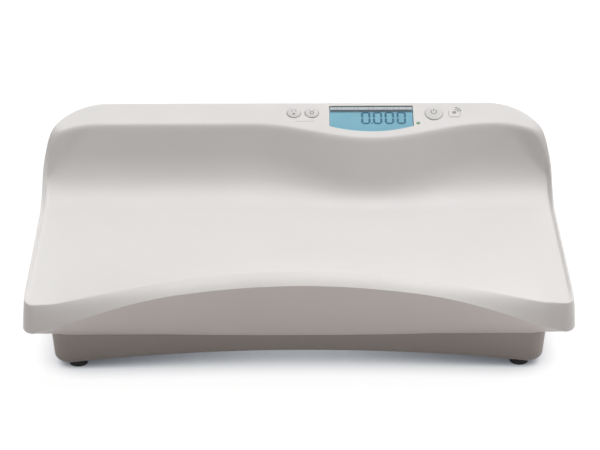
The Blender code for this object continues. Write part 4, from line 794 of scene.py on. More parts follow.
def column_places(half, radius):
    """Places of the tray's columns: even in the middle, closer round the rear corners and on the lip."""
    straight = np.linspace(0, half - radius, MIDDLE_STEPS // 2 + 1)
    lip_start = math.asin((radius - LIP_SHARES[0] * SIDE_LIP_WIDTH) / radius)
    angles = [lip_start * k / CORNER_STEPS for k in range(1, CORNER_STEPS)]
    angles += [math.asin((radius - share * SIDE_LIP_WIDTH) / radius) for share in LIP_SHARES]
    angles.append(math.pi / 2)
    bent = [half - radius + radius * math.sin(angle) for angle in angles]
    right = np.concatenate([straight, bent])
    return np.concatenate([-right[:0:-1], right])


def drawn_back(x, half, radius):
    """How far a rounded corner lies behind the straight edge, at x."""
    over = np.clip(np.abs(x) - (half - radius), 0, radius)
    return radius - np.sqrt(radius**2 - over**2)


CORNER_TURN = math.cos(math.pi / 4)
FRONT_SHARES = (0.0, 0.0012, 0.004, 0.008, 0.013, 0.020)
FLOOR_SHARES = np.concatenate([FRONT_SHARES, np.linspace(0.035, 1.0, FLOOR_STEPS)[:-1]])
RIM_SHARES = np.concatenate([np.linspace(0.0, 0.90, RIM_STEPS)[1:], (0.935, 0.962, 0.982, 0.994, 1.0)])
EDGE_ROWS = (-0.0030, -0.0020, -0.0012, -0.0005, 0.0002, 0.0010, 0.0020, 0.0032)
SIDE_ROWS = len(FLOOR_SHARES) + HOLLOW_STEPS + len(EDGE_ROWS) + len(RIM_SHARES)


def drawn_in(x, squeeze, half, front_radius):
    """Places across the tray, drawn in round the front corners."""
    flat = half - front_radius
    over = np.maximum(np.abs(x) - flat, 0)
    return np.sign(x) * (np.minimum(np.abs(x), flat) + over * squeeze)


def corner_squeeze(y, front, front_radius):
    """Share of the front corners' width that is left at y."""
    short = np.clip(front + front_radius - y, 0, front_radius)
    return np.sqrt(front_radius**2 - short**2) / front_radius


def column_rows(at, half, front, rear, front_radius, rear_radius):
    """Where each row crosses one column of the tray."""
    near = float(drawn_in(at, CORNER_TURN, half, front_radius))
    first = front + float(drawn_back(near, half, front_radius))
    last = rear - float(drawn_back(at, half, rear_radius))
    start = float(hollow(at)[0])
    inner = min(float(rim_inner(at)), last - 2 * SIDE_LIP_WIDTH - EDGE_ROWS[-1])
    low = inner + EDGE_ROWS[0]
    high = inner + EDGE_ROWS[-1]
    rows = [first + (start - first) * share for share in FLOOR_SHARES]
    rows += [start + (low - start) * k / HOLLOW_STEPS for k in range(HOLLOW_STEPS)]
    rows += [inner + offset for offset in EDGE_ROWS]
    rows += [high + (last - high) * share for share in RIM_SHARES]
    return np.array(rows)


def side_shares():
    """Shares of the tray's side at which its rows meet it."""
    half = HALF - BAND_SIDE_RUN
    rows = column_rows(half, half, front_edge(HALF), REAR - BAND_SIDE_RUN, FRONT_CORNER_RADIUS,
                       REAR_CORNER_RADIUS)
    return (rows - rows[0]) / (rows[-1] - rows[0])


def plan_ring(half, front, rear, front_radius, rear_radius):
    """Anticlockwise points of a rounded outline, front row first."""
    x = column_places(half, rear_radius)
    near = drawn_in(x, CORNER_TURN, half, front_radius)
    front_row = np.column_stack([near, front + drawn_back(near, half, front_radius)])
    rear_row = np.column_stack([x, rear - drawn_back(x, half, rear_radius)])[::-1]
    low = front + (1 - CORNER_TURN) * front_radius
    high = rear - rear_radius
    side_y = low + (high - low) * side_shares()[1:-1]
    side_x = half - front_radius + front_radius * corner_squeeze(side_y, front, front_radius)
    return np.concatenate([front_row, np.column_stack([side_x, side_y]), rear_row,
                           np.column_stack([-side_x, side_y])[::-1]])


def front_edge(x):
    """The tray's front edge over the band, at x."""
    toward_middle = 1 - (abs(x) / HALF) ** BAND_RUN_POWER
    return FRONT + BAND_CORNER_RUN + (BAND_MIDDLE_RUN - BAND_CORNER_RUN) * toward_middle


def tray_grid(inset, drop):
    """Columns whose rows follow the trough, the panel's inner edge and the outline."""
    half = HALF - BAND_SIDE_RUN - inset
    rear = REAR - BAND_SIDE_RUN - inset
    x = column_places(half, REAR_CORNER_RADIUS)
    front_at_end = front_edge(half) + inset
    end_rows = column_rows(half, half, front_at_end, rear, FRONT_CORNER_RADIUS, REAR_CORNER_RADIUS)
    squeeze = corner_squeeze(end_rows, front_at_end, FRONT_CORNER_RADIUS)
    points = np.zeros((len(x), SIDE_ROWS, 3))
    for i, at in enumerate(x):
        front = front_edge(at) + inset
        xs = np.array([float(drawn_in(at, share, half, FRONT_CORNER_RADIUS)) for share in squeeze])
        ys = column_rows(at, half, front, rear, FRONT_CORNER_RADIUS, REAR_CORNER_RADIUS)
        to_edge = np.minimum(np.minimum(ys - ys[0], ys[-1] - ys), abs(half - abs(at)))
        rounding = EDGE_ROUND * np.clip(1 - to_edge / EDGE_ROUND_WIDTH, 0, 1) ** 2
        points[i] = np.column_stack([xs, ys, tray_z(xs, ys) - rounding])
    if drop:
        run = np.maximum(np.gradient(points[:, :, 1], axis=1), LEAST_RUN)
        slope = np.gradient(points[:, :, 2], axis=1) / run
        points[:, :, 2] -= drop * np.minimum(np.sqrt(1 + slope**2), STEEPEST_DROP_SHARE)
    return points


def grid_edge(points):
    """The outline of a grid, anticlockwise from its front left corner."""
    return np.concatenate([points[:, 0], points[-1, 1:-1], points[::-1, -1], points[0, 1:-1][::-1]])


def band_drops():
    """How far the band reaches down, along the tray's outline."""
    x = column_places(HALF, REAR_CORNER_RADIUS)
    start, end = BAND_DROP_SHARES
    over = np.clip((np.abs(x) / HALF - start) / (end - start), 0, 1)
    front_row = BAND_MIDDLE_DROP + (BAND_CORNER_DROP - BAND_MIDDLE_DROP) * over**BAND_DROP_POWER
    side = BAND_CORNER_DROP + (BAND_REAR_DROP - BAND_CORNER_DROP) * side_shares()[1:-1]
    return np.concatenate([front_row, side, np.full(len(x), BAND_REAR_DROP), side[::-1]])


def band_foot_ring(inset):
    """The outline of the band's foot, drawn in by inset."""
    return plan_ring(HALF - inset, FRONT + inset, REAR - inset, FRONT_CORNER_RADIUS, REAR_CORNER_RADIUS)


def with_z(ring, z):
    """A flat ring's points, with one height or a height for each."""
    return np.column_stack([ring, np.broadcast_to(z, len(ring))])


def ring_faces(upper, lower, count):
    """Faces between two rings of as many points, which start at upper and at lower."""
    return [(upper + p, lower + p, lower + (p + 1) % count, upper + (p + 1) % count) for p in range(count)]


def bridge(rings, start=0):
    """Faces between rings that follow one another in the list of points."""
    count = len(rings[0])
    faces = []
    for r in range(len(rings) - 1):
        faces += ring_faces(start + r * count, start + (r + 1) * count, count)
    return faces


def capped_shell(outer, rings, inner):
    """A closed shell: outer grid, rings down and round its edge, and inner grid on the way back."""
    columns, rows = outer.shape[:2]
    order = [(i, 0) for i in range(columns)]
    order += [(columns - 1, j) for j in range(1, rows - 1)]
    order += [(i, rows - 1) for i in reversed(range(columns))]
    order += [(0, j) for j in reversed(range(1, rows - 1))]
    stack = [grid_edge(outer)] + rings + [grid_edge(inner)]
    verts = [tuple(v) for ring in stack for v in ring]
    faces = bridge(stack)
    count = len(stack[0])
    for grid, first, flip in ((outer, 0, False), (inner, (len(stack) - 1) * count, True)):
        places = {cell: first + place for place, cell in enumerate(order)}
        for i in range(1, columns - 1):
            for j in range(1, rows - 1):
                places[(i, j)] = len(verts)
                verts.append(tuple(grid[i, j]))
        for i in range(columns - 1):
            for j in range(rows - 1):
                face = (places[(i, j)], places[(i + 1, j)], places[(i + 1, j + 1)], places[(i, j + 1)])
                faces.append(face[::-1] if flip else face)
    return verts, faces


def tray_solid():
    """The trough with its panel, its outer band and the band's rounded foot."""
    outer = tray_grid(0.0, 0.0)
    edge = grid_edge(outer)
    wide = band_foot_ring(0.0)
    drops = band_drops()
    band_rings = []
    for out in BAND_SHARES:
        flat = edge[:, :2] + (wide - edge[:, :2]) * out
        band_rings.append(with_z(flat, edge[:, 2] - drops * (BAND_FLAT * out + (1 - BAND_FLAT) * out**2)))
    for inset, lift in BAND_FOOT_ROUND:
        band_rings.append(with_z(band_foot_ring(inset), edge[:, 2] - drops + lift))
    return capped_shell(outer, band_rings, tray_grid(BAND_FOOT - BAND_SIDE_RUN, TRAY_WALL))


# Openings in the panel

def window_outline(margin, top):
    """The display window: square above, with a bowed lower edge and slightly rounded corners."""
    half = WINDOW_WIDTH / 2
    bow = WINDOW_MIDDLE_END - WINDOW_SIDE_END
    radius = (half**2 + bow**2) / (2 * bow)
    reach = math.asin(half / radius)
    center_y = -WINDOW_MIDDLE_END + radius
    grown = radius + margin
    turns = [-reach + 2 * reach * k / WINDOW_STEPS for k in range(WINDOW_STEPS + 1)]
    lower = [(WINDOW_X + grown * math.sin(turn), center_y - grown * math.cos(turn)) for turn in turns]
    left = (WINDOW_X - half - margin, lower[0][1])
    right = (WINDOW_X + half + margin, lower[-1][1])
    points = [left] + lower[2:-2] + [right, (right[0], -top), (left[0], -top)]
    corners = (0, len(points) - 3, len(points) - 2, len(points) - 1)
    smooth = []
    for k, at in enumerate(points):
        if k in corners:
            smooth += curved_corner(points[k - 1], at, points[(k + 1) % len(points)], WINDOW_CORNER)
        else:
            smooth.append(at)
    return smooth


def flared(outline_at, flare):
    """A cutter for an opening whose upper edge is rounded over by flare."""
    rings = [at_height(outline_at(0.0), -OPENING_DEPTH)]
    for turn in quarter_turns(EDGE_STEPS):
        height = -flare + (flare + CUT_LIFT) * math.sin(turn)
        rings.append(at_height(outline_at(flare * (1 - math.cos(turn))), height))
    rings.append(at_height(outline_at(flare), CUT))
    return loft(rings)


def laid_on_panel(solid):
    """A solid of the panel's own frame, moved to its place on the scale."""
    verts, faces = solid
    return [tuple(PANEL_FRAME @ Vector(v)) for v in verts], faces


def panel_openings(flare):
    """Cutters for the display window, the keys and the mains light, their edges rounded by flare."""
    def window(grown):
        return window_outline(FIT_GAP + grown, WINDOW_TOP - FIT_GAP - grown)

    def hole(radius, sides, x, slope):
        return lambda grown: circle(radius + grown, sides, (x, -slope))

    cuts = [flared(window, flare)]
    cuts += [flared(hole(radius + FIT_GAP, FINE_SIDES, x, slope), flare) for _, x, slope, radius in KEYS]
    cuts.append(flared(hole(LIGHT_RADIUS + FIT_GAP / 2, SMALL_SIDES, LIGHT_X, LIGHT_SLOPE), flare / 2))
    return [laid_on_panel(cut) for cut in cuts]


class BABYSCALE_OT_tray(bpy.types.Operator):
    """Builds the trough, its rounded rim and the panel with its openings"""
    bl_idname = "baby_scale.tray"
    bl_label = "Tray"

    def execute(self, context):
        flare = context.scene.scale_mouldings.opening_round
        add_piece("tray_moulding", tray_solid(), "housing", "tray_white", ["tray_shell"], sharp_deg=40.0,
                  cutters=[("DIFFERENCE", [cut]) for cut in panel_openings(flare)])
        return {"FINISHED"}


# Skirt

def mixed_ring(share, inset):
    """An outline of the skirt, a share of the way from under the band to the parting line."""
    def mix(top, bottom):
        return top + (bottom - top) * share
    return plan_ring(
        HALF - mix(SKIRT_STEP, PARTING_SIDE_INSET) - inset,
        FRONT + mix(SKIRT_STEP, PARTING_FRONT_INSET) + inset,
        REAR - mix(SKIRT_STEP, PARTING_REAR_INSET) - inset,
        mix(FRONT_CORNER_RADIUS, PARTING_RADIUS),
        mix(REAR_CORNER_RADIUS, PARTING_RADIUS),
    )


def skirt_side(top, low, inset):
    """Rings down the skirt, which bellies out where it is tall."""
    belly = np.clip((top - low - SKIRT_ROUND_DROP) / (SKIRT_FULL_DROP - SKIRT_ROUND_DROP), 0, 1)
    rings = []
    for out in np.linspace(0, 1, SKIRT_ROWS):
        down = 1 - (1 - out) ** BELLY_POWER
        rings.append(with_z(mixed_ring(out, inset), top + (low - top) * (out + (down - out) * belly)))
    return rings


def skirt_solid():
    """The shell from under the band to the parting line, with a flange turned in at its foot."""
    top = grid_edge(tray_grid(0.0, 0.0))[:, 2] - band_drops() - FIT_GAP
    low = PARTING_HEIGHT + FIT_GAP / 2
    foot = [(SKIRT_EDGE * SKIRT_EDGE_SHARE, low + SKIRT_EDGE * SKIRT_EDGE_SHARE), (SKIRT_EDGE, low),
            (SKIRT_FLANGE, low), (SKIRT_FLANGE, low + SKIRT_WALL)]
    stack = skirt_side(top, low + SKIRT_EDGE, 0.0)
    stack += [with_z(mixed_ring(1.0, inset), height) for inset, height in foot]
    stack += skirt_side(top, low + SKIRT_WALL, SKIRT_WALL)[::-1]
    count = len(stack[0])
    faces = bridge(stack) + ring_faces((len(stack) - 1) * count, 0, count)
    return [tuple(v) for ring in stack for v in ring], faces


class BABYSCALE_OT_skirt(bpy.types.Operator):
    """Builds the bellied shell between the tray and the pan"""
    bl_idname = "baby_scale.skirt"
    bl_label = "Skirt"

    def execute(self, context):
        add_piece("skirt_moulding", skirt_solid(), "housing", "skirt_white", ["skirt_shell"], sharp_deg=50.0)
        return {"FINISHED"}


# Pan

def pan_bottom(x):
    """Height of the pan's arched underside, at x."""
    return PAN_CLEARANCE + PAN_ARCH_RISE * np.clip(1 - (np.asarray(x) / PAN_ARCH_HALF_WIDTH) ** 2, 0, 1)


def pan_ring(inset, height):
    """An outline of the pan, front row first, each point as high as height gives for its x."""
    half = PAN_HALF - inset
    radius = PAN_RADIUS - inset
    straight = np.linspace(0, half - radius, PAN_MIDDLE_STEPS + 1)
    bent = [half - radius + radius * math.sin(turn) for turn in quarter_turns(PAN_CORNER_STEPS)[1:]]
    right = np.concatenate([straight, bent])
    x = np.concatenate([-right[:0:-1], right])
    back = drawn_back(x, half, radius)
    front_row = np.column_stack([x, PAN_FRONT + inset + back])
    rear_row = np.column_stack([x, PAN_REAR - inset - back])[::-1]
    ring = np.concatenate([front_row, rear_row])
    return with_z(ring, height(ring[:, 0]))


def pan_solid():
    """The base: tapered walls, a filleted edge and an arched floor of even thickness."""
    top = PARTING_HEIGHT - FIT_GAP / 2
    outer = [pan_ring(PAN_EDGE, lambda x: top), pan_ring(0.0, lambda x: top - PAN_EDGE)]
    inner = []
    for turn in quarter_turns(FILLET_STEPS):
        inset = PAN_TAPER + PAN_FILLET * (1 - math.cos(turn))
        rise = PAN_FILLET * (1 - math.sin(turn))
        outer.append(pan_ring(inset, lambda x: pan_bottom(x) + rise))
        inner.append(pan_ring(inset + PAN_WALL * math.cos(turn),
                              lambda x: pan_bottom(x) + rise + PAN_WALL * math.sin(turn)))
    inner = inner[::-1] + [pan_ring(PAN_WALL, lambda x: top)]
    count = len(outer[0])
    verts = [tuple(v) for ring in outer + inner for v in ring]
    faces = bridge(outer) + bridge(inner, len(outer) * count)
    faces += ring_faces((len(outer) + len(inner) - 1) * count, 0, count)
    for first, flip in (((len(outer) - 1) * count, True), (len(outer) * count, False)):
        for i in range(count // 2 - 1):
            face = (first + i, first + i + 1, first + count - 2 - i, first + count - 1 - i)
            faces.append(face[::-1] if flip else face)
    return verts, faces


def middle_of(node):
    """Middle of a solid's box."""
    low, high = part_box(node)
    return (low.x + high.x) / 2, (low.y + high.y) / 2, (low.z + high.z) / 2


def radius_of(node):
    """Radius of an upright or lengthways round solid."""
    low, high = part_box(node)
    return (high.x - low.x) / 2


# Screw towers and wells, foot holes, the battery bay with its door, and the socket's hole
TOWER_RADIUS = 0.0058
TOWER_TOP = 0.0447
SCREW_SEAT = 0.005
SCREW_GAP = 0.0004
SCREW_MOUTH_GAP = 0.0010
FOOT_HOLE_RADIUS = 0.0060
FOOT_MOUTH_RADIUS = 0.0066
MOUTH_DEPTH = 0.0006
BLOCK_HEIGHT = 0.0055
BLOCK_MARGIN = 0.009
DOOR_TONGUE = 0.002
DOOR_TONGUE_THICKNESS = 0.001
BATTERY_GAP = 0.0006
SOCKET_HOLE_RADIUS = 0.0048
SOCKET_HOLE_DEPTH = 0.0110
SCREWS = [f"housing_screw_{number}" for number in range(1, 7)]


def bay_block(floor):
    """The block of the pan that the battery bay is cut into."""
    low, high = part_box("battery_door")
    margin = BLOCK_MARGIN / 2
    return box((-high.x - margin, low.y - margin, floor + PAN_WALL / 2),
               (high.x + margin, PAN_REAR - PAN_TAPER - PAN_WALL, floor + BLOCK_HEIGHT))


def bay_cutters(floor):
    """Cutters for the bay, for the door's slot and for the grooves of the door's tongues."""
    low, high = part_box("battery_door")
    bay_low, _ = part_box("contact_front")
    _, bay_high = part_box("contact_rear")
    half_bay = bay_high.x + BATTERY_GAP
    bay = box((-half_bay, bay_low.y - FIT_GAP, high.z - CUT),
              (half_bay, bay_high.y + FIT_GAP, floor + BLOCK_HEIGHT + CUT))
    half_slot = high.x - DOOR_TONGUE + FIT_GAP
    slot = box((-half_slot, low.y - FIT_GAP, floor - 2 * CUT), (half_slot, PAN_REAR + CUT, high.z + FIT_GAP))
    middle = (low.z + high.z) / 2
    thick = DOOR_TONGUE_THICKNESS / 2 + FIT_GAP
    groove = box((-high.x - FIT_GAP, low.y - FIT_GAP / 2, middle - thick),
                 (high.x + FIT_GAP, PAN_REAR + 2 * CUT, middle + thick))
    return bay, slot, groove


def screw_tower(screw):
    """The tower over a screw's head, from inside the pan's floor up."""
    x, y, _ = middle_of(screw)
    low = float(pan_bottom(x)) + PAN_WALL / 2
    profile = [(0, low), (TOWER_RADIUS, low), (TOWER_RADIUS, TOWER_TOP), (0, TOWER_TOP)]
    return turned(profile, SMALL_SIDES, (x, y))


def screw_well(screw):
    """A cutter for the well that a screw's head lies in."""
    x, y, _ = middle_of(screw)
    base = float(pan_bottom(x))
    seat = base + SCREW_SEAT
    mouth = radius_of(screw) + SCREW_MOUTH_GAP
    well = radius_of(screw) + SCREW_GAP
    profile = [(0, base - CUT), (mouth, base - CUT), (mouth, base), (well, base + MOUTH_DEPTH),
               (well, seat), (0, seat)]
    return turned(profile, SCREW_SIDES, (x, y))


def foot_hole(stud):
    """A cutter for the hole that a foot's stud passes through."""
    x, y, _ = middle_of(stud)
    base = float(pan_bottom(x))
    top = base + PAN_WALL + CUT
    profile = [(0, base - CUT), (FOOT_MOUTH_RADIUS, base - CUT), (FOOT_HOLE_RADIUS, base + MOUTH_DEPTH),
               (FOOT_HOLE_RADIUS, top), (0, top)]
    return turned(profile, FINE_SIDES // 2, (x, y))


class BABYSCALE_OT_pan(bpy.types.Operator):
    """Builds the arched base with its screw wells and the battery bay's opening"""
    bl_idname = "baby_scale.pan"
    bl_label = "Pan"

    def execute(self, context):
        floor = float(pan_bottom(0.0))
        solids = [bay_block(floor)] + [screw_tower(screw) for screw in SCREWS]
        wells = [screw_well(screw) for screw in SCREWS] + [foot_hole(f"foot_stud_{foot}") for foot in FEET]
        socket_hole = socket_turned([(0, -CUT), (SOCKET_HOLE_RADIUS, -CUT),
                                     (SOCKET_HOLE_RADIUS, SOCKET_HOLE_DEPTH), (0, SOCKET_HOLE_DEPTH)])
        cuts = [[cutter] for cutter in bay_cutters(floor)] + [wells, [socket_hole]]
        add_piece("pan_moulding", pan_solid(), "housing", "pan_grey", ["bottom_housing"], sharp_deg=35.0,
                  cutters=[("UNION", solids)] + [("DIFFERENCE", pieces) for pieces in cuts])
        return {"FINISHED"}


# Display

def rounded_plate(outline_at, low, high, round_by):
    """A plate whose upper edge is rounded."""
    rings = [at_height(outline_at(0.0), low)]
    for turn in quarter_turns(EDGE_STEPS):
        inset = round_by * (1 - math.cos(turn))
        rings.append(at_height(outline_at(-inset), high - round_by + round_by * math.sin(turn)))
    return loft(rings)


def area(outline):
    """Area within an outline, below nought where it runs clockwise."""
    return sum(a[0] * b[1] - b[0] * a[1] for a, b in zip(outline, outline[1:] + outline[:1])) / 2


def anticlockwise(outline):
    """The outline, turned round where it runs clockwise."""
    return outline if area(outline) > 0 else outline[::-1]


def segment(x0, y0, x1, y1, width):
    """One bar of a digit, pointed at both ends."""
    a, b = Vector((x0, y0)), Vector((x1, y1))
    along = (b - a).normalized() * (width / 2)
    across = Vector((-along.y, along.x))
    points = (a, a + along - across, b - along - across, b, b - along + across, a + along + across)
    return anticlockwise([tuple(p) for p in points])


def nought_bars(x, top, height, width, bar):
    """The six bars of a nought, clockwise from the upper one."""
    left = x - (width / 2 - bar / 2)
    right = x + (width / 2 - bar / 2)
    high = -top - bar / 2
    low = -top - height + bar / 2
    mid = (high + low) / 2
    gap = bar * BAR_GAP_SHARE
    ends = (
        (left + gap, high, right - gap, high),
        (right, mid + gap, right, high - gap),
        (right, low + gap, right, mid - gap),
        (left + gap, low, right - gap, low),
        (left, low + gap, left, mid - gap),
        (left, mid + gap, left, high - gap),
    )
    return [segment(*end, bar) for end in ends]


# Heights are from the panel's face, bands down its slope, and digits' centres from the window's middle
LENS_TOP = -0.0003
LENS_ROUND = 0.0003
LENS_LOW = -0.0013
IMAGE_TOP = -0.0015
IMAGE_LOW = -0.0044
IMAGE_MARGIN = 0.0001
IMAGE_ROUND = 0.0002
BAR_GAP_SHARE = 0.03
DOT_SHARE = 0.42
DIGIT_TOP = 0.0146
DIGIT_CENTRES = (-0.0060, 0.0068, 0.0197, 0.0326)
LINE_BANDS = ((0.0069, 0.0082), (0.0129, 0.0143))
STRIP_BAND = (0.0086, 0.0124)
TICK_BAND = (0.0097, 0.0113)
TICK_HALF_WIDTH = 0.0007
TICK_SHARES = (0.05, 0.09, 0.14, 0.30, 0.34, 0.47, 0.53, 0.66, 0.70, 0.78, 0.84, 0.93)
TICK_TONE_SHARE = 0.72
PRINT_MARGIN = 0.0006

# How far print reaches into what carries it, and how high each print stands
INK_ROOT = 0.0001
DIGIT_INK = 0.00005
LINE_INK = 0.00004
STRIP_INK = 0.00003
TICK_INK = 0.00006


def digit_outlines(look):
    """The four noughts, and the dot between the first two."""
    outlines = []
    for offset in DIGIT_CENTRES:
        outlines += nought_bars(WINDOW_X + offset, DIGIT_TOP, look.digit_height, look.digit_width,
                                look.segment_width)
    dot = (WINDOW_X + (DIGIT_CENTRES[0] + DIGIT_CENTRES[1]) / 2,
           -DIGIT_TOP - look.digit_height + look.segment_width / 2)
    outlines.append(circle(look.segment_width * DOT_SHARE, SMALL_SIDES, dot))
    return outlines


def printed_bar(x0, x1, ends, low, high):
    """A printed bar from x0 to x1, between two distances down the panel's slope."""
    return box((x0, -max(ends), low), (x1, -min(ends), high))


class BABYSCALE_OT_display(bpy.types.Operator):
    """Builds the display's lens, its blue ground, the digits and the print over them"""
    bl_idname = "baby_scale.display"
    bl_label = "Display"

    def execute(self, context):
        look = context.scene.scale_display
        lens = rounded_plate(lambda grown: window_outline(grown, WINDOW_TOP - grown),
                             LENS_LOW, LENS_TOP, LENS_ROUND)
        add_piece("display_lens", lens, "housing", "window_clear", ["display_window"], on_panel=True)
        ground = rounded_plate(lambda grown: window_outline(grown - IMAGE_MARGIN,
                                                            WINDOW_TOP + IMAGE_MARGIN - grown),
                               IMAGE_LOW, IMAGE_TOP, IMAGE_ROUND)
        add_piece("display_image", ground, "housing", "lcd_blue", on_panel=True)
        digit_root = IMAGE_TOP - INK_ROOT
        digits = [prism(outline, digit_root, IMAGE_TOP + DIGIT_INK) for outline in digit_outlines(look)]
        add_print("display_digits", digits, "housing", "lcd_blue", "digit_blue", look.digit_colour)
        left = WINDOW_X - WINDOW_WIDTH / 2 + PRINT_MARGIN
        right = WINDOW_X + WINDOW_WIDTH / 2 - PRINT_MARGIN
        root = LENS_TOP - INK_ROOT
        lines = [printed_bar(left, right, ends, root, LENS_TOP + LINE_INK) for ends in LINE_BANDS]
        add_print("display_lines", lines, "housing", "display_frame_grey", "line_grey", look.line_colour)
        strip = [printed_bar(left, right, STRIP_BAND, root, LENS_TOP + STRIP_INK)]
        add_print("display_strip", strip, "housing", "display_frame_grey", "strip_blue", look.strip_colour)
        half = TICK_HALF_WIDTH
        middles = [left + (right - left) * share for share in TICK_SHARES]
        ticks = [printed_bar(at - half, at + half, TICK_BAND, LENS_TOP, LENS_TOP + TICK_INK)
                 for at in middles]
        add_print("display_ticks", ticks, "housing", "display_frame_grey", "tick_grey",
                  shade(look.strip_colour, TICK_TONE_SHARE))
        return {"FINISHED"}


# Keys, marks and mains light

def band(points, width):
    """A flat stroke of even width along points."""
    left = []
    right = []
    for k, at in enumerate(points):
        before = Vector(points[max(k - 1, 0)])
        after = Vector(points[min(k + 1, len(points) - 1)])
        way = (after - before).normalized() * (width / 2)
        left.append((at[0] - way.y, at[1] + way.x))
        right.append((at[0] + way.y, at[1] - way.x))
    return anticlockwise(right + left[::-1])


def level_bar(x, y, half, width):
    """A printed bar across the panel, its middle at x and y."""
    return band([(x - half, y), (x + half, y)], width)


def arc(center, radius, start_deg, end_deg, steps=24):
    """Even points along an arc."""
    turns = [math.radians(start_deg + (end_deg - start_deg) * k / steps) for k in range(steps + 1)]
    return [(center[0] + radius * math.cos(t), center[1] + radius * math.sin(t)) for t in turns]


def ring_band(center, radius, width):
    """A whole printed ring in two halves that overlap a little."""
    return [band(arc(center, radius, start, start + 180 + RING_OVERLAP_DEG), width) for start in (0, 180)]


# Marks of the keys: heights are measured from the middle of the key or of the power sign
RING_OVERLAP_DEG = 1
MARK_STROKE = 0.0009
HOLD_BAR_HEIGHTS = (0.0030, 0.0010)
HOLD_BAR_HALF = 0.0027
HOLD_DOT_HEIGHT = -0.0026
HOLD_DOT_RADIUS = 0.0013
TARE_RING_HEIGHT = -0.0010
TARE_RING_RADIUS = 0.0019
TARE_BAR_HEIGHT = 0.0030
TARE_BAR_HALF = 0.0034
TARE_BAR_STROKE = 0.0010
POWER_SIGN_HEIGHT = 0.0014
POWER_RING_RADIUS = 0.0031
POWER_RING_DEGREES = (125, 415)
POWER_RING_STEPS = 36
POWER_BAR_HEIGHTS = (0.0008, 0.0042)


def hold_marks(x, y):
    """Two bars over a dot."""
    bars = [level_bar(x, y + height, HOLD_BAR_HALF, MARK_STROKE) for height in HOLD_BAR_HEIGHTS]
    return bars + [circle(HOLD_DOT_RADIUS, SMALL_SIDES, (x, y + HOLD_DOT_HEIGHT))]


def tare_marks(x, y):
    """A ring under a bar."""
    return (ring_band((x, y + TARE_RING_HEIGHT), TARE_RING_RADIUS, MARK_STROKE)
            + [level_bar(x, y + TARE_BAR_HEIGHT, TARE_BAR_HALF, TARE_BAR_STROKE)])


def power_marks(x, y):
    """The power symbol: an open ring with a bar in its gap."""
    y = y + POWER_SIGN_HEIGHT
    low, high = POWER_BAR_HEIGHTS
    return [band(arc((x, y), POWER_RING_RADIUS, *POWER_RING_DEGREES, POWER_RING_STEPS), MARK_STROKE),
            band([(x, y + low), (x, y + high)], MARK_STROKE)]


MARKS = {"hold_key": hold_marks, "tare_key": tare_marks, "power_key": power_marks}


# Key caps: flange and stem under the panel, and the rounded edge round the crown
KEY_FLANGE = 0.0010
KEY_STEM_RADIUS = 0.0030
KEY_STEM_LENGTH = 0.0008
KEY_EDGE = 0.0005
KEY_EDGE_TURNS = (0.4, 0.8, 1.2, math.pi / 2)
CROWN_SHARES = (0.9, 0.75, 0.6, 0.45, 0.3, 0.15, 0.0)


def cap_solid(x, slope, radius, crown, proud):
    """A key: stem, flange and a softly crowned cap with a rounded edge."""
    flange_top = -TRAY_WALL - FIT_GAP
    flange_low = flange_top - KEY_FLANGE
    stem_low = flange_low - KEY_STEM_LENGTH
    top_radius = radius - KEY_EDGE
    rim = proud - KEY_EDGE
    profile = [(0, stem_low), (KEY_STEM_RADIUS, stem_low), (KEY_STEM_RADIUS, flange_low),
               (radius + KEY_FLANGE, flange_low), (radius + KEY_FLANGE, flange_top), (radius, flange_top),
               (radius, rim)]
    profile += [(radius - KEY_EDGE * (1 - math.cos(t)), rim + KEY_EDGE * math.sin(t)) for t in KEY_EDGE_TURNS]
    profile += [(top_radius * share, proud + crown * (1 - share**2)) for share in CROWN_SHARES]
    return turned(profile, FINE_SIDES, (x, -slope))


def mark_solid(outline, x, slope, radius, look):
    """A printed mark whose ink follows the key's crown from its lowest point to its highest."""
    distances = [math.hypot(px - x, py + slope) / (radius - KEY_EDGE) for px, py in outline]
    low = look.proud + look.crown * (1 - max(distances) ** 2)
    top = look.proud + look.crown * (1 - min(distances) ** 2)
    return prism(outline, low - INK_ROOT, top + look.mark_thickness)


class BABYSCALE_OT_keys(bpy.types.Operator):
    """Builds the three keys with their printed marks"""
    bl_idname = "baby_scale.keys"
    bl_label = "Keys"

    def execute(self, context):
        look = context.scene.scale_keys
        for name, x, slope, radius in KEYS:
            cap = cap_solid(x, slope, radius, look.crown, look.proud)
            add_piece(f"{name}_cap", cap, name, "key_white", [name], on_panel=True)
            marks = [mark_solid(outline, x, slope, radius, look) for outline in MARKS[name](x, -slope)]
            add_print(f"{name}_mark", marks, name, "key_white", "mark_grey", look.mark_colour)
        return {"FINISHED"}


# Line under the left keys, and the plain sign at the right end of the panel
UNDER_LINE_ENDS = ((-0.0020, -0.0298), (0.0180, -0.0298))
UNDER_LINE_STROKE = 0.00035
SIGN_PLACE = (0.1714, -0.0172)
SIGN_BASE_HEIGHT = -0.0068
SIGN_BASE_HALF = 0.0055
SIGN_DOT_RADIUS = 0.0021
SIGN_ARC_RADII = (0.0046, 0.0074)
SIGN_ARC_DEGREES = (12, 82)
SIGN_ARC_STEPS = 12
SIGN_ARC_STROKE = 0.0014
SIGN_SIDE_REACH = 0.0062
SIGN_SIDE_HEIGHTS = (0.0020, -0.0055)
SIGN_SIDE_STROKE = 0.0005
PANEL_INK_SHARE = 1.15

# Mains light: its flange, its rim, and its dome as shares of the radius with heights
LIGHT_LOW = -0.0100
LIGHT_FLANGE_TOP = -0.0078
LIGHT_FLANGE_RADIUS = 0.0022
LIGHT_RIM = -0.0002
LIGHT_DOME = ((0.92, 0.00005), (0.6, 0.0002), (0.0, 0.00025))


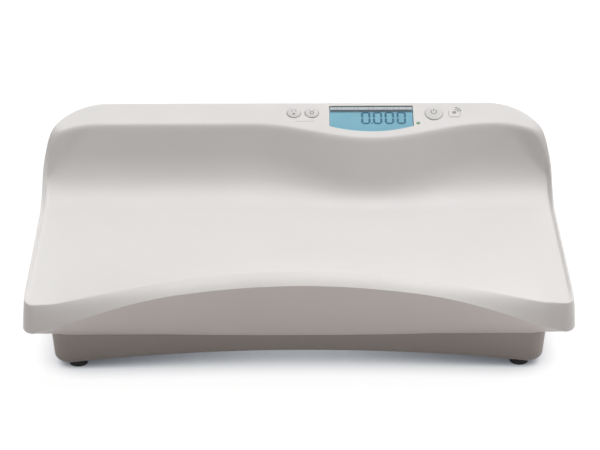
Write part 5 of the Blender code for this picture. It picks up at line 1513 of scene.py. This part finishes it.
def sign_outlines():
    """The sign: a base line, a dot with two arcs over it, and a line at each side."""
    x, y = SIGN_PLACE
    high, low = SIGN_SIDE_HEIGHTS
    outlines = [level_bar(x, y + SIGN_BASE_HEIGHT, SIGN_BASE_HALF, MARK_STROKE),
                circle(SIGN_DOT_RADIUS, SMALL_SIDES, SIGN_PLACE)]
    outlines += [band(arc(SIGN_PLACE, radius, *SIGN_ARC_DEGREES, SIGN_ARC_STEPS), SIGN_ARC_STROKE)
                 for radius in SIGN_ARC_RADII]
    for side in (x - SIGN_SIDE_REACH, x + SIGN_SIDE_REACH):
        outlines.append(band([(side, y + high), (side, y + low)], SIGN_SIDE_STROKE))
    return outlines


def light_solid():
    """The light guide, from its flange under the panel to its domed end."""
    profile = [(0, LIGHT_LOW), (LIGHT_FLANGE_RADIUS, LIGHT_LOW), (LIGHT_FLANGE_RADIUS, LIGHT_FLANGE_TOP),
               (LIGHT_RADIUS, LIGHT_FLANGE_TOP), (LIGHT_RADIUS, LIGHT_RIM)]
    profile += [(LIGHT_RADIUS * share, height) for share, height in LIGHT_DOME]
    return turned(profile, SMALL_SIDES, (LIGHT_X, -LIGHT_SLOPE))


class BABYSCALE_OT_panel_marks(bpy.types.Operator):
    """Prints the plain marks beside the keys and sets the mains light"""
    bl_idname = "baby_scale.panel_marks"
    bl_label = "Panel marks and light"

    def execute(self, context):
        look = context.scene.scale_keys
        outlines = [band(UNDER_LINE_ENDS, UNDER_LINE_STROKE)] + sign_outlines()
        marks = [prism(outline, -INK_ROOT, look.mark_thickness) for outline in outlines]
        add_print("panel_marks", marks, "housing", "tray_white", "panel_ink",
                  shade(look.mark_colour, PANEL_INK_SHARE))
        add_piece("mains_light_lens", light_solid(), "housing", "mains_green", ["mains_light"], on_panel=True)
        return {"FINISHED"}


# Feet

# Pads with their ribs and the stud's seat, and the studs' threads with their ends
PAD_RIBS = 36
PAD_SIDES = PAD_RIBS * 4
PAD_EDGE = 0.0012
PAD_RIB_START_SHARE = 0.9
PAD_SOCKET_RADIUS = 0.0043
PAD_SOCKET_FLOOR = 0.003
STUD_SIDES = 32
THREAD_STEPS = 8
THREAD_RUN_OUT = 0.0015
STUD_END_DEPTH = 0.0004
STUD_CHAMFER = 0.0007


def even_ring(x, y, z, reaches):
    """A ring of evenly turned points, each as far from the middle as its reach."""
    ring = []
    for k, reach in enumerate(reaches):
        turn = 2 * math.pi * k / len(reaches)
        ring.append((x + reach * math.cos(turn), y + reach * math.sin(turn), z))
    return ring


def ribbed_pad(x, y, radius, height, rib):
    """A round pad with finger ribs round its side and a flat sole."""
    profile = rounded([(0.0, 0.0), (radius, 0.0), (radius, height), (PAD_SOCKET_RADIUS, height)], PAD_EDGE)
    waves = [0.5 - 0.5 * math.cos(PAD_RIBS * 2 * math.pi * k / PAD_SIDES) for k in range(PAD_SIDES)]
    rings = []
    for r, z in profile:
        deep = 0.0
        if r > radius * PAD_RIB_START_SHARE:
            deep = rib * math.sin(math.pi * min(max(z / height, 0), 1)) ** 0.5
        rings.append(even_ring(x, y, z, [max(r, AXIS_RADIUS) - deep * wave for wave in waves]))
    rings.append(even_ring(x, y, PAD_SOCKET_FLOOR, [PAD_SOCKET_RADIUS] * PAD_SIDES))
    return loft(rings)


def threaded_stud(x, y, low, high, radius, pitch, depth):
    """A stud whose thread winds up it, with plain chamfered ends."""
    steps = int((high - low) / pitch * THREAD_STEPS)
    end_reaches = [radius - STUD_CHAMFER] * STUD_SIDES
    rings = [even_ring(x, y, low, end_reaches)]
    for s in range(1, steps):
        z = low + (high - low) * s / steps
        fade = min(1.0, (z - low) / THREAD_RUN_OUT, (high - z) / THREAD_RUN_OUT)
        phases = [(z / pitch - k / STUD_SIDES) % 1.0 for k in range(STUD_SIDES)]
        grooves = [depth * (1 - abs(2 * phase - 1)) * fade + STUD_END_DEPTH * (1 - fade) for phase in phases]
        rings.append(even_ring(x, y, z, [radius - groove for groove in grooves]))
    rings.append(even_ring(x, y, high, end_reaches))
    return loft(rings)


class BABYSCALE_OT_feet(bpy.types.Operator):
    """Builds the four threaded studs and their ribbed rubber pads"""
    bl_idname = "baby_scale.feet"
    bl_label = "Feet"

    def execute(self, context):
        look = context.scene.scale_feet
        for foot in FEET:
            pad = f"foot_pad_{foot}"
            stud = f"foot_stud_{foot}"
            x, y, _ = middle_of(pad)
            _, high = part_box(pad)
            rubber = ribbed_pad(x, y, radius_of(pad), high.z, look.rib_depth)
            add_piece(f"{pad}_rubber", rubber, pad, "foot_rubber", [pad])
            low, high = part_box(stud)
            thread = threaded_stud(x, y, low.z, high.z, radius_of(stud), look.thread_pitch, look.thread_depth)
            add_piece(f"{stud}_thread", thread, stud, "zinc_steel", [stud])
        return {"FINISHED"}


# Underside: screws, battery door, batteries and socket

# Screws: the rounding of the head as shares of its radius with heights, its cross recess and the shank
SCREW_HEAD_ROUND = ((0.0, 0.0), (0.55, 0.0), (0.80, 0.0003), (0.94, 0.0009), (1.0, 0.0017))
SCREW_HEAD_HEIGHT = 0.0025
SCREW_SHANK_RADIUS = 0.0018
CROSS_REACH = 0.0020
CROSS_HALF_WIDTH = 0.0004
CROSS_DEPTH = 0.0013


class BABYSCALE_OT_screws(bpy.types.Operator):
    """Builds the six housing screws with rounded heads and crossed slots"""
    bl_idname = "baby_scale.screws"
    bl_label = "Housing screws"

    def execute(self, context):
        for screw in SCREWS:
            x, y, _ = middle_of(screw)
            low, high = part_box(screw)
            seat = low.z + SCREW_HEAD_HEIGHT
            profile = [(radius_of(screw) * share, low.z + rise) for share, rise in SCREW_HEAD_ROUND]
            profile += [(radius_of(screw), seat), (SCREW_SHANK_RADIUS, seat), (SCREW_SHANK_RADIUS, high.z),
                        (0, high.z)]
            cuts = []
            for dx, dy in ((CROSS_REACH, CROSS_HALF_WIDTH), (CROSS_HALF_WIDTH, CROSS_REACH)):
                arm = box((x - dx, y - dy, low.z - CUT), (x + dx, y + dy, low.z + CROSS_DEPTH))
                cuts.append(("DIFFERENCE", [arm]))
            add_piece(f"{screw}_head", turned(profile, SCREW_SIDES, (x, y)), "housing", "zinc_steel", [screw],
                      cutters=cuts)
        return {"FINISHED"}


# Battery door: the grip's grooves, the arrow and the rounded edges; batteries: the raised pole
GRIP_COUNT = 5
GRIP_PITCH = 0.0022
GRIP_RADIUS = 0.0006
GRIP_HALF_LENGTH = 0.009
ARROW_INSET = 0.022
ARROW_HALF_WIDTH = 0.0045
ARROW_LENGTH = 0.0060
ARROW_DEPTH = 0.0004
DOOR_EDGE = 0.0002
POLE_RADIUS = 0.0027
POLE_HEIGHT = 0.0010
POLE_ROUND = 0.0005


def door_tongue():
    """The plate that stands out at both sides of the door and runs in the pan's grooves."""
    low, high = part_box("battery_door")
    middle = (low.z + high.z) / 2
    return box((-high.x, low.y + FIT_GAP, middle - DOOR_TONGUE_THICKNESS / 2),
               (high.x, high.y - PAN_FILLET, middle + DOOR_TONGUE_THICKNESS / 2))


def door_grips():
    """Cutters for the grooves across the door's rear end, which the finger grips."""
    low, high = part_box("battery_door")
    ends = [(0, -GRIP_HALF_LENGTH), (GRIP_RADIUS, -GRIP_HALF_LENGTH), (GRIP_RADIUS, GRIP_HALF_LENGTH),
            (0, GRIP_HALF_LENGTH)]
    verts, faces = turned(ends, SMALL_SIDES)
    places = [high.y - PAN_FILLET - number * GRIP_PITCH for number in range(GRIP_COUNT)]
    return [([(z, y + b, low.z - a) for a, b, z in verts], faces) for y in places]


def door_arrow():
    """A cutter for the arrow that shows which way the door opens."""
    low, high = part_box("battery_door")
    y = high.y - PAN_FILLET - ARROW_INSET
    outline = [(-ARROW_HALF_WIDTH, y), (ARROW_HALF_WIDTH, y), (0.0, y + ARROW_LENGTH)]
    return prism(outline, low.z - CUT, low.z + ARROW_DEPTH)


def battery_cell(name):
    """A round cell that lies along y, its raised pole to the rear."""
    x, _, z = middle_of(name)
    low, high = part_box(name)
    length = high.y - low.y
    shoulder = length - POLE_HEIGHT
    profile = rounded([(0, 0), (radius_of(name), 0), (radius_of(name), shoulder), (POLE_RADIUS, shoulder),
                       (POLE_RADIUS, length), (0, length)], POLE_ROUND)
    verts, faces = turned(profile, FINE_SIDES // 2)
    return [(x + a, low.y + c, z - b) for a, b, c in verts], faces


class BABYSCALE_OT_battery_bay(bpy.types.Operator):
    """Builds the sliding door with its grip, and the six round cells behind it"""
    bl_idname = "baby_scale.battery_bay"
    bl_label = "Battery bay"

    def execute(self, context):
        low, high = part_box("battery_door")
        half = high.x - DOOR_TONGUE
        plate = box((-half, low.y, low.z), (half, high.y, high.z))
        add_piece("battery_door_cover", plate, "battery_door", "pan_grey", ["battery_door"], bevel=DOOR_EDGE,
                  cutters=[("UNION", [door_tongue()]), ("DIFFERENCE", door_grips()),
                           ("DIFFERENCE", [door_arrow()])])
        for number in range(1, 7):
            name = f"battery_{number}"
            add_piece(f"{name}_cell", battery_cell(name), "housing", "battery_sleeve", [name])
        return {"FINISHED"}


# Power socket: places, nose, bore and pin, each bevel given across and along
SOCKET_X = 0.120
SOCKET_HEIGHT = 0.030
SOCKET_NOSE_RADIUS = 0.0045
SOCKET_NOSE_BEVEL = (0.0003, 0.0004)
SOCKET_NOSE_LENGTH = 0.012
SOCKET_BODY_INSET = 0.0075
BORE_RADIUS = 0.0032
BORE_BEVEL = (0.0002, 0.0003)
BORE_DEPTH = 0.0105
PIN_RADIUS = 0.0010
PIN_BEVEL = (0.0003, 0.0005)
PIN_TIP = 0.0016
PIN_LENGTH = 0.0115


def socket_turned(profile):
    """A turned solid that points to the rear, measured forwards from the pan's rear face."""
    verts, faces = turned(profile, FINE_SIDES // 2)
    return [(SOCKET_X + a, PAN_REAR - c, SOCKET_HEIGHT + b) for a, b, c in verts], faces


def bevelled_rod(radius, bevel, tip, end):
    """A rod of the socket from its bevelled tip to its end."""
    across, along = bevel
    return socket_turned([(0, tip), (radius - across, tip), (radius, tip + along), (radius, end), (0, end)])


def socket_bore(face):
    """A cutter for the plug's bore, with a bevelled mouth."""
    across, along = BORE_BEVEL
    mouth = BORE_RADIUS + across
    end = face + BORE_DEPTH
    return socket_turned([(0, face - CUT), (mouth, face - CUT), (mouth, face), (BORE_RADIUS, face + along),
                          (BORE_RADIUS, end), (0, end)])


class BABYSCALE_OT_socket(bpy.types.Operator):
    """Builds the barrel socket in the rear wall"""
    bl_idname = "baby_scale.socket"
    bl_label = "Power socket"

    def execute(self, context):
        low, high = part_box("power_socket")
        face = PAN_REAR - high.y
        body = box((low.x, low.y, low.z), (high.x, high.y - SOCKET_BODY_INSET, high.z))
        nose = bevelled_rod(SOCKET_NOSE_RADIUS, SOCKET_NOSE_BEVEL, face, face + SOCKET_NOSE_LENGTH)
        pin = bevelled_rod(PIN_RADIUS, PIN_BEVEL, face + PIN_TIP, face + PIN_LENGTH)
        add_piece("power_socket_body", body, "housing", "socket_black", ["power_socket"],
                  cutters=[("UNION", [nose]), ("DIFFERENCE", [socket_bore(face)])])
        add_piece("power_socket_pin", pin, "housing", "zinc_steel")
        return {"FINISHED"}


INNER_SHARP_DEG = 30.0


class BABYSCALE_OT_inside(bpy.types.Operator):
    """Gives every solid that stays as it is the finish of its material slot"""
    bl_idname = "baby_scale.inside"
    bl_label = "Inner pieces"

    def execute(self, context):
        slots = {part["node"]: part["material_slot"] for part in frame["record"]["subparts"]}
        for name, node in frame["nodes"].items():
            if node.hide_render:
                continue
            node.data.materials.clear()
            node.data.materials.append(finish_of(slots[name]))
            node.data.shade_smooth()
            node.data.set_sharp_from_angle(angle=math.radians(INNER_SHARP_DEG))
        return {"FINISHED"}


# Stage

# Floor: what it sends back, what the camera sees, and the painted shadow close to a piece
FLOOR_REACH = 9.0
FLOOR_SENT_BACK = (0.82, 0.785, 0.77)
FLOOR_SEEN = (0.14, 0.14, 0.14)
SHADOW_REACH = 0.036
SHADOW_SAMPLES = 16
PAINTED_SHADOW_TONES = (
    (0.0, (0.05, 0.06, 0.07)),
    (0.23, (0.20, 0.21, 0.23)),
    (0.35, (0.44, 0.46, 0.48)),
    (0.45, (0.60, 0.61, 0.63)),
    (0.68, (0.83, 0.83, 0.84)),
    (0.87, (0.955, 0.955, 0.955)),
)

# Each sun's turn about x and about y, and how wide it seems, in degrees
LAMPS = {
    "top_lamp": (-13.0, 0.0, 40.0),
    "rear_lamp": (-30.0, 0.0, 50.0),
    "right_lamp": (-15.0, 35.0, 50.0),
    "right_fill": (-30.0, 45.0, 70.0),
    "left_fill": (-30.0, -45.0, 70.0),
}

# Camera: the point it looks at, its sensor's width and where its view starts
CAMERA_AIM = Vector((0.002, 0.0, 0.106))
CAMERA_SENSOR_MM = 36.0
CAMERA_NEAR = 0.05


def seen_directly(tree):
    """One where a ray comes straight from the camera, a gloss or clear material, else nought."""
    path = tree.nodes.new("ShaderNodeLightPath")
    total = path.outputs["Is Camera Ray"]
    for other in ("Is Glossy Ray", "Is Transmission Ray"):
        most = tree.nodes.new("ShaderNodeMath")
        most.operation = "MAXIMUM"
        tree.links.new(total, most.inputs[0])
        tree.links.new(path.outputs[other], most.inputs[1])
        total = most.outputs["Value"]
    return total


def floor_finish():
    """Matte studio floor: pale for the light it sends back, white where it is seen, with a painted shadow
    close to a piece.
    """
    made = bpy.data.materials.new("studio_floor")
    made.use_nodes = True
    tree = made.node_tree
    shader = tree.nodes["Principled BSDF"]
    shader.inputs["Roughness"].default_value = 1.0
    shader.inputs["Specular IOR Level"].default_value = 0.0
    seen = seen_directly(tree)
    ground = tones(tree, seen, (0.0, FLOOR_SENT_BACK), (1.0, FLOOR_SEEN))
    tree.links.new(ground, shader.inputs["Base Color"])
    # Painted shadow: the floor's seen glow turns grey the more closely a piece crowds it
    closeness = tree.nodes.new("ShaderNodeAmbientOcclusion")
    closeness.samples = SHADOW_SAMPLES
    closeness.inputs["Distance"].default_value = SHADOW_REACH
    painted_shadow = tones(tree, closeness.outputs["AO"], *PAINTED_SHADOW_TONES)
    tree.links.new(painted_shadow, shader.inputs["Emission Color"])
    tree.links.new(seen, shader.inputs["Emission Strength"])
    return made


def lay_floor():
    """A wide floor at the height of the soles."""
    reach = FLOOR_REACH
    ends = [(-reach, -reach, 0), (reach, -reach, 0), (reach, reach, 0), (-reach, reach, 0)]
    floor = placed("floor", (ends, [(0, 1, 2, 3)]))
    floor.data.materials.append(floor_finish())


def light_room(look):
    """Light from all round: tinted and dim for the scale, white where the camera sees it."""
    world = bpy.data.worlds.new("room")
    world.use_nodes = True
    tree = world.node_tree
    background = tree.nodes["Background"]
    strength = spread(tree, seen_directly(tree), look.sky, 1.0, start=0.0, end=1.0)
    tree.links.new(strength, background.inputs["Strength"])
    tint = tones(tree, seen_directly(tree), (0.0, tuple(look.sky_colour)), (1.0, (1.0, 1.0, 1.0)))
    tree.links.new(tint, background.inputs["Color"])
    bpy.context.scene.world = world


def hang_lamp(name, strength, about_x, about_y, wide):
    """A sun, its turns and its width given in degrees."""
    data = bpy.data.lights.new(name, "SUN")
    data.energy = strength
    data.angle = math.radians(wide)
    made = bpy.data.objects.new(name, data)
    made.rotation_euler = (math.radians(about_x), math.radians(about_y), 0.0)
    bpy.context.scene.collection.objects.link(made)


def set_camera(look):
    """The camera, turned to the scale from the set azimuth, elevation and distance."""
    camera = bpy.data.objects.new("camera", bpy.data.cameras.new("camera"))
    bpy.context.scene.collection.objects.link(camera)
    camera.data.lens = look.lens
    camera.data.sensor_width = CAMERA_SENSOR_MM
    camera.data.clip_start = CAMERA_NEAR
    level = math.cos(look.elevation)
    back = Vector((math.sin(look.azimuth) * level, -math.cos(look.azimuth) * level, math.sin(look.elevation)))
    camera.location = CAMERA_AIM + back * look.distance
    camera.rotation_euler = (-back).to_track_quat("-Z", "Y").to_euler()
    bpy.context.scene.camera = camera


class BABYSCALE_OT_stage(bpy.types.Operator):
    """Sets the floor, the room light, the lamps and the camera"""
    bl_idname = "baby_scale.stage"
    bl_label = "Stage"

    def execute(self, context):
        look = context.scene.scale_stage
        lay_floor()
        light_room(look)
        for name, (about_x, about_y, wide) in LAMPS.items():
            hang_lamp(name, getattr(look, name), about_x, about_y, wide)
        set_camera(look)
        context.scene.view_settings.view_transform = "Standard"
        return {"FINISHED"}


# Add-on

PIECES = (
    BABYSCALE_OT_stage,
    BABYSCALE_OT_tray,
    BABYSCALE_OT_skirt,
    BABYSCALE_OT_pan,
    BABYSCALE_OT_display,
    BABYSCALE_OT_keys,
    BABYSCALE_OT_panel_marks,
    BABYSCALE_OT_feet,
    BABYSCALE_OT_screws,
    BABYSCALE_OT_battery_bay,
    BABYSCALE_OT_socket,
    BABYSCALE_OT_inside,
)
SETTINGS = {
    "scale_mouldings": MouldingSettings,
    "scale_display": DisplaySettings,
    "scale_keys": KeySettings,
    "scale_feet": FootSettings,
    "scale_stage": StageSettings,
}


class BABYSCALE_PT_panel(bpy.types.Panel):
    """Sizes, colours and pieces of the baby scale"""
    bl_idname = "BABYSCALE_PT_panel"
    bl_label = "Baby scale"
    bl_space_type = "VIEW_3D"
    bl_region_type = "UI"
    bl_category = "Baby scale"

    def draw(self, context):
        for name, group in SETTINGS.items():
            section = self.layout.box()
            section.label(text=group.__doc__)
            for field in group.__annotations__:
                section.prop(getattr(context.scene, name), field)
        for piece in PIECES:
            self.layout.operator(piece.bl_idname)


def register():
    for kind in (*SETTINGS.values(), *PIECES, BABYSCALE_PT_panel):
        bpy.utils.register_class(kind)
    for name, group in SETTINGS.items():
        setattr(bpy.types.Scene, name, bpy.props.PointerProperty(type=group))


def unregister():
    for name in SETTINGS:
        delattr(bpy.types.Scene, name)
    for kind in (BABYSCALE_PT_panel, *reversed(PIECES), *reversed(SETTINGS.values())):
        bpy.utils.unregister_class(kind)


def main():
    register()
    for piece in PIECES:
        getattr(bpy.ops.baby_scale, piece.bl_idname.split(".")[1])()


if __name__ == "__main__":
    main()
